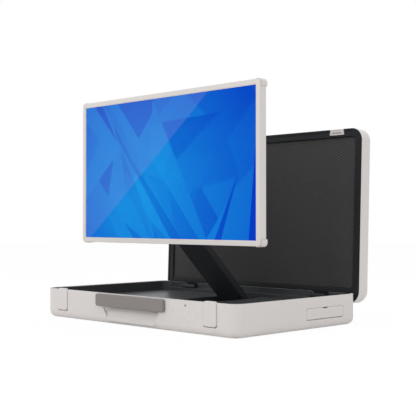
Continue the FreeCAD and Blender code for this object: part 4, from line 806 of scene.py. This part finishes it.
@dataclass
class Case(Assembly):
    """The lower case with its tray, grip, latches, ports and power parts."""

    pad_groove: float = 1.2 * MM
    hinge_x: float = 227.0
    hinge_gap: float = 25.4
    rim_end: float = 304.0
    rim_depth: tuple[float, float] = (202.2, 203.4)
    rim_height: tuple[float, float] = (70.2, 70.85)
    body: ClassVar[str] = "base"

    def build(self) -> None:
        """Dresses the case and fits its feet and its rear rim."""
        CASE.dress_nodes("base_shell", "latch_plate_left", "latch_plate_right", "port_cover")
        TRAY_PAINTED_LIGHTER.dress_nodes("deck_tray", "latch_boxes", "port_bay", "speakers")
        TAUPE.dress_nodes("grip_bar")
        BUTTON.dress_nodes("battery_button")
        LENS.dress_nodes("indicator_light_pipes")
        POST.dress_nodes("deck_posts", "board_standoffs")
        CELL_WRAP.dress_nodes("battery_packs")
        TAPE.dress_nodes("battery_strap")
        BOARD.dress_nodes("main_board", "power_board", "indicator_board")
        SHEET.dress_nodes("heat_spreader")
        PLATED.dress_nodes("power_inlet", "signal_sockets")
        HINGE.dress_nodes("lid_hinge_brackets", "arm_base_casting")
        STEEL.dress_nodes("lid_hinge_pins", "latch_pins", "port_cover_pin", "arm_pivot_shaft")
        SCREW.dress_nodes("grip_screws", "arm_base_screws")
        self.fit(self.feet(), RUBBER, "foot_pads")
        hinges = (-self.hinge_x, self.hinge_x)
        starts = (-self.rim_end, *(x + self.hinge_gap for x in hinges))
        stops = (*(x - self.hinge_gap for x in hinges), self.rim_end)
        # Thin pale strips on the tray's rear edge: partly the rear rim's own colour, partly a painted highlight line.
        for place, start, stop in zip(("left", "middle", "right"), starts, stops):
            self.fit(self.rim_run(f"rear_rim_{place}", start, stop), CASE)

    def rim_run(self, name: str, start: float, stop: float) -> bpy.types.Object:
        """Models a run of the pale rear rim, thinner towards its ends: a thin strip that carries the rim's colour and
        paints the light line of its highlight.

        Args:
            name: the piece's name.
            start: where the run starts along X, in mm.
            stop: where it stops, in mm.

        Returns:
            The run.
        """
        spans = ((start, stop), self.rim_depth, self.rim_height)
        Bench.clear()
        bpy.ops.mesh.primitive_cube_add(size=1.0, location=tuple(sum(span) / 2 * MM for span in spans))
        piece = Bench.started(name, tuple((high - low) * MM for low, high in spans))
        Bench.edit(piece, lambda face: abs(face.normal.x) > 0.9)
        bpy.ops.transform.resize(value=(1.0, 0.6, 0.6))
        Bench.leave()
        Bench.soften(piece, 0.15 * MM)
        return piece

    def feet(self) -> bpy.types.Object:
        """Models the round rubber feet, each with a moulded groove.

        Returns:
            The four feet as one piece.
        """
        middles = islands("foot_pads")
        low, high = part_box("foot_pads")
        height = high.z - low.z
        radius = high.x - max(middle.x for middle in middles)
        Bench.clear()
        bpy.ops.mesh.primitive_cylinder_add(vertices=48, radius=radius, depth=height)
        piece = Bench.started("foot", (1.0, 1.0, 1.0))
        for thickness, rise in ((radius * 0.3, 0.0), (self.pad_groove, height * 0.4), (self.pad_groove, 0.0)):
            Bench.edit(piece, lambda face: face.normal.z < -0.9 and face.center.xy.length < radius * 0.1)
            bpy.ops.mesh.inset(thickness=thickness)
            if rise:
                bpy.ops.mesh.extrude_region_move(TRANSFORM_OT_translate={"value": (0.0, 0.0, rise)})
            Bench.leave()
        Bench.soften(piece, height * 0.12)
        return Bench.copies(piece, "rubber_feet", [Matrix.Translation(middle) for middle in middles])


@dataclass
class Lid(Assembly):
    """The lid with its frame, lining and keepers."""

    opened: float = 92.1
    hinge: tuple[float, float] = (198.0, 58.8)
    window: tuple[float, float] = (316.0, 191.0)
    window_corner: float = 12.0
    frame_low: float = 73.9
    frame_high: float = 78.4
    piping: float = 1.1
    sill: float = 16.0
    body: ClassVar[str] = "lid"

    def build(self) -> None:
        """Dresses the lid and fits the piping round its window."""
        CASE.dress_nodes("lid_shell", "latch_keepers")
        LID_TRIM_PAINTED_DARKER.dress_nodes("lid_frame")
        LINING.dress_nodes("lid_panel")
        POST.dress_nodes("lid_posts")
        HINGE.dress_nodes("lid_hinge_arms")
        self.fit(self.window_piping(), LID_TRIM_PAINTED_DARKER)

    def swung(self) -> Matrix:
        """Returns the turn that opens the closed lid to its place at rest."""
        hinge = Vector((0.0, self.hinge[0] * MM, self.hinge[1] * MM))
        turn = Matrix.Rotation(math.radians(-self.opened), 4, "X")
        return Matrix.Translation(hinge) @ turn @ Matrix.Translation(-hinge)

    def window_piping(self) -> bpy.types.Object:
        """Models the bead between the frame and the lining, with its wide sill on the hinge side.

        Returns:
            The bead, in the opened lid.
        """
        half = tuple(side * MM for side in self.window)
        bead = Bench.ring("window_piping", half, self.window_corner * MM, 2 * self.piping * MM,
                          (self.frame_high - self.frame_low) * 0.6 * MM, self.piping * 0.9 * MM, self.sill * MM)
        rise = Matrix.Translation((0.0, 0.0, (self.frame_high - (self.frame_high - self.frame_low) * 0.6) * MM))
        bead.data.transform(self.swung() @ rise)
        return bead


@dataclass
class FoldingArm(Assembly):
    """The folding arm between the case and the screen."""

    rise: float = 44.5
    body: ClassVar[str] = "arm"

    def build(self) -> None:
        """Dresses the arm and the head, and fits the shell screws."""
        ARM.dress_nodes("arm_front_shell", "arm_rear_shell", "head_bracket", "hub_cover", "hub_rotor")
        STEEL.dress_nodes("arm_spine", "tilt_shaft", "hub_axle", "hub_nut")
        BRASS.dress_nodes("pivot_bushes")
        self.fit(self.shell_screws(), SCREW, "arm_shell_screws")

    def shell_screws(self) -> bpy.types.Object:
        """Models the four screws of the arm's shells.

        Returns:
            The screws as one piece.
        """
        radius, height = 3.15 * MM, 1.7 * MM
        lean = Matrix.Rotation(math.radians(-self.rise), 4, "X")
        up = lean @ Vector((0.0, 0.0, height / 2))
        places = [Matrix.Translation(middle + up) @ lean for middle in islands("arm_shell_screws")]
        return Bench.copies(star_screw("arm_screw", radius, height), "arm_star_screws", places)


@dataclass
class Screen(Assembly):
    """The touch screen: picture, glass, a cream ring painted as the bezel's highlight, rear cover and its screws."""

    active: tuple[float, float] = (298.85, 168.1)
    overlap: float = 1.4
    glow_place: tuple[float, float] = (-0.28, -0.42)
    facets: int = 64
    seed: int = 11
    body: ClassVar[str] = "screen"

    def build(self) -> None:
        """Dresses the screen and fits the picture, the painted bezel highlight ring, vents and screws."""
        SCREEN_CASE.dress_nodes("screen_frame", "rear_cover")
        BUMPER.dress_nodes("corner_bumpers")
        GLASS.dress_nodes("touch_glass")
        SHEET.dress_nodes("backlight_plate", "hub_backing_plate")
        BOARD.dress_nodes("screen_board")
        low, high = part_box("lcd_panel")
        middle = (low + high) / 2
        glow = middle + Vector((self.glow_place[0] * self.active[0], 0.0, self.glow_place[1] * self.active[1])) * MM
        top = middle.z + self.active[1] * MM
        bottom = middle.z - self.active[1] * MM
        # The third colour is the painted glare; the two points mark its slanted edge.
        picture = LitPicture("Lit facet picture", "panel_dark", ink(3, 58, 196), ink(26, 150, 228), ink(112, 140, 224),
                             tuple(glow), 0.42, Vector((0.151, 0.0, top)), Vector((-0.281, 0.0, bottom)))
        self.fit(self.mosaic(low, high), picture, "lcd_panel")
        self.fit(self.bezel_highlight_ring(middle), BEZEL_HIGHLIGHT)
        self.fit(self.cover_screws(), SCREW, "rear_cover_screws")
        self.fit(self.vents(middle), VENT_SHADE)

    def mosaic(self, low: Vector, high: Vector) -> bpy.types.Object:
        """Models the display module with its face cut into facets, each with its own shade.

        Args:
            low: the lowest corner of the CAD module.
            high: its highest corner.

        Returns:
            The module.
        """
        half_x, half_z = (high.x - low.x) / 2, (high.z - low.z) / 2
        dice = random.Random(self.seed)
        crowd = Vector((self.glow_place[0] * half_x, self.glow_place[1] * half_z, 0.0))

        def weight(place: Vector) -> float:
            """Asks for smaller facets near the glow."""
            return 1.0 / (0.6 + (place - crowd).length / half_x)

        Bench.clear()
        bpy.ops.mesh.primitive_plane_add(size=2.0)
        piece = Bench.started("picture_module", (half_x, half_z, 1.0))
        for _ in range(self.facets):
            widest = max(piece.data.polygons, key=lambda face: face.area * weight(face.center))
            sides = [piece.data.vertices[k].co.copy() for k in widest.vertices]
            side = dice.randrange(len(sides))
            start = sides[side].lerp(sides[side - 1], dice.uniform(0.0, 0.5))
            aim = widest.center + Vector((dice.uniform(-0.2, 0.2) * half_x, dice.uniform(-0.2, 0.2) * half_z, 0.0))
            along = (aim - start).normalized()
            chosen = widest.index
            Bench.edit(piece, lambda face: face.index == chosen)
            bpy.ops.mesh.bisect(plane_co=start, plane_no=(-along.y, along.x, 0.0))
            Bench.leave(face_out=False)
        shades = piece.data.color_attributes.new(name=FACET_SHADE, type="FLOAT_COLOR", domain="CORNER")
        for face in piece.data.polygons:
            shade = dice.random()
            for corner in face.loop_indices:
                shades.data[corner].color = (shade, shade, shade, 1.0)
        Bench.edit(piece, lambda face: True)
        bpy.ops.mesh.extrude_region_move(TRANSFORM_OT_translate={"value": (0.0, 0.0, high.y - low.y - 0.1 * MM)})
        Bench.leave()
        middle = (low + high) / 2
        upright = Matrix.Translation((middle.x, high.y, middle.z)) @ Matrix.Rotation(math.pi / 2, 4, "X")
        piece.data.transform(upright)
        return piece

    def bezel_highlight_ring(self, middle: Vector) -> bpy.types.Object:
        """Models a thin cream ring between the bezel and the glass: a painted highlight standing for the lit inner edge
        of the bezel.

        Args:
            middle: the middle of the display module.

        Returns:
            The highlight ring.
        """
        glass_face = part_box("touch_glass")[0].y
        half = tuple((side + self.overlap) * MM for side in self.active)
        ring = Bench.ring("bezel_highlight_ring", half, 0.4 * MM, 1.3 * MM, 1.1 * MM, 0.25 * MM)
        ring.data.transform(Matrix.Translation((middle.x, glass_face, middle.z)) @ Matrix.Rotation(math.pi / 2, 4, "X"))
        return ring

    def cover_screws(self) -> bpy.types.Object:
        """Models the rear cover's screws.

        Returns:
            The screws as one piece.
        """
        low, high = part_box("rear_cover_screws")
        back = Matrix.Rotation(-math.pi / 2, 4, "X")
        places = [Matrix.Translation((middle.x, high.y, middle.z)) @ back for middle in islands("rear_cover_screws")]
        return Bench.copies(star_screw("cover_screw", 3.15 * MM, high.y - low.y), "cover_star_screws", places)

    def vents(self, middle: Vector) -> bpy.types.Object:
        """Models two rows of vent mouths in the rear cover: flat near-black pads that paint the shade inside the
        openings.

        Args:
            middle: the middle of the display module.

        Returns:
            The vent mouths as one piece.
        """
        length, width, pitch, rows = 17.0 * MM, 2.2 * MM, 5.2 * MM, 34
        Bench.clear()
        bpy.ops.mesh.primitive_plane_add(size=2.0)
        piece = Bench.started("vent", (width / 2, length / 2, 1.0))
        Bench.edit(piece, lambda face: True)
        bpy.ops.mesh.bevel(offset=width * 0.49, segments=4, affect="VERTICES")
        bpy.ops.mesh.extrude_region_move(TRANSFORM_OT_translate={"value": (0.0, 0.0, 0.3 * MM)})
        Bench.leave()
        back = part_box("rear_cover")[1].y
        upright = Matrix.Rotation(-math.pi / 2, 4, "X")
        places = [Matrix.Translation(((k - (rows - 1) / 2) * pitch, back - 0.25 * MM, middle.z + rise)) @ upright
                  for rise in (-0.128, 0.128) for k in range(rows)]
        return Bench.copies(piece, "cover_vents", places)


@dataclass
class Studio:
    """Pale floor, white surround, soft lamps and the camera."""

    lens: float = 78.78
    eye: tuple[float, float, float] = (1.61083, -1.56068, 0.24386)
    tip: float = 90.7808
    pan: float = 45.13

    def build(self) -> None:
        """Sets up the world, the floor, the lamps and the camera."""
        self.surround()
        self.floor()
        self.lamp("Window", (-0.7, -2.8, 1.6), 2.2, 20.0)
        self.lamp("Fill", (2.6, -0.6, 1.4), 1.8, 4.5)
        self.lamp("Overhead", (0.0, 0.2, 2.6), 2.4, 22.0)
        self.camera()

    @staticmethod
    def seen_directly(graph: Graph) -> bpy.types.NodeSocket:
        """Returns 1 for rays from the camera, from gloss and through glass, and 0 for others."""
        path = graph.add("ShaderNodeLightPath").outputs
        gloss = graph.math("MAXIMUM", path["Is Glossy Ray"], path["Is Transmission Ray"])
        return graph.math("MAXIMUM", path["Is Camera Ray"], gloss)

    def surround(self) -> None:
        """Makes a soft world that looks white behind the object."""
        world = bpy.data.worlds.new("Soft white room")
        bpy.context.scene.world = world
        world.use_nodes = True
        world.node_tree.nodes.clear()
        graph = Graph(world.node_tree)
        seen = self.seen_directly(graph)
        strength = graph.span(seen, 0.0, 1.0, 0.8, 1.0)
        light = graph.add("ShaderNodeBackground", {"Color": (1.0, 1.0, 1.0, 1.0), "Strength": strength})
        graph.add("ShaderNodeOutputWorld", {"Surface": light.outputs["Background"]})

    def floor(self) -> None:
        """Makes the pale floor, white to the camera save where the object shades it."""
        Bench.clear()
        bpy.ops.mesh.primitive_plane_add(size=14.0)
        plane = bpy.context.object
        plane.name = "studio_floor"
        paper = bpy.data.materials.new("Pale paper floor")
        paper.use_nodes = True
        paper.node_tree.nodes.clear()
        graph = Graph(paper.node_tree)
        matt = graph.add("ShaderNodeBsdfDiffuse", {"Color": (0.9, 0.9, 0.9, 1.0)})
        white = graph.add("ShaderNodeEmission", {"Color": (1.0, 1.0, 1.0, 1.0), "Strength": 1.0})
        share = graph.math("MULTIPLY", self.seen_directly(graph), 0.95)
        both = graph.add("ShaderNodeMixShader", {0: share, 1: matt.outputs[0], 2: white.outputs[0]})
        graph.add("ShaderNodeOutputMaterial", {"Surface": both.outputs[0]})
        plane.data.materials.append(paper)

    def lamp(self, name: str, place: tuple[float, float, float], size: float, power: float) -> None:
        """Adds a soft square lamp that faces the object.

        Args:
            name: the lamp's name.
            place: where it hangs.
            size: the length of its sides.
            power: its power in watts.
        """
        data = bpy.data.lights.new(name, "AREA")
        data.size = size
        data.energy = power
        lamp = bpy.data.objects.new(name, data)
        lamp.location = place
        aim = Vector((0.0, 0.0, 0.2)) - lamp.location
        lamp.rotation_euler = aim.to_track_quat("-Z", "Y").to_euler()
        bpy.context.collection.objects.link(lamp)

    def camera(self) -> None:
        """Adds the camera at the photograph's viewing angle."""
        data = bpy.data.cameras.new("View")
        data.sensor_width = 36.0
        data.lens = self.lens
        camera = bpy.data.objects.new("View", data)
        camera.location = self.eye
        camera.rotation_euler = (math.radians(self.tip), 0.0, math.radians(self.pan))
        bpy.context.collection.objects.link(camera)
        bpy.context.scene.camera = camera


def main() -> None:
    """Builds the whole scene in order."""
    logging.basicConfig(level=logging.INFO, format="%(name)s: %(message)s")
    bpy.context.scene.view_settings.view_transform = "Standard"
    for part in (Case(), Lid(), FoldingArm(), Screen()):
        part.build()
    Studio().build()


if __name__ == "__main__":
    main()
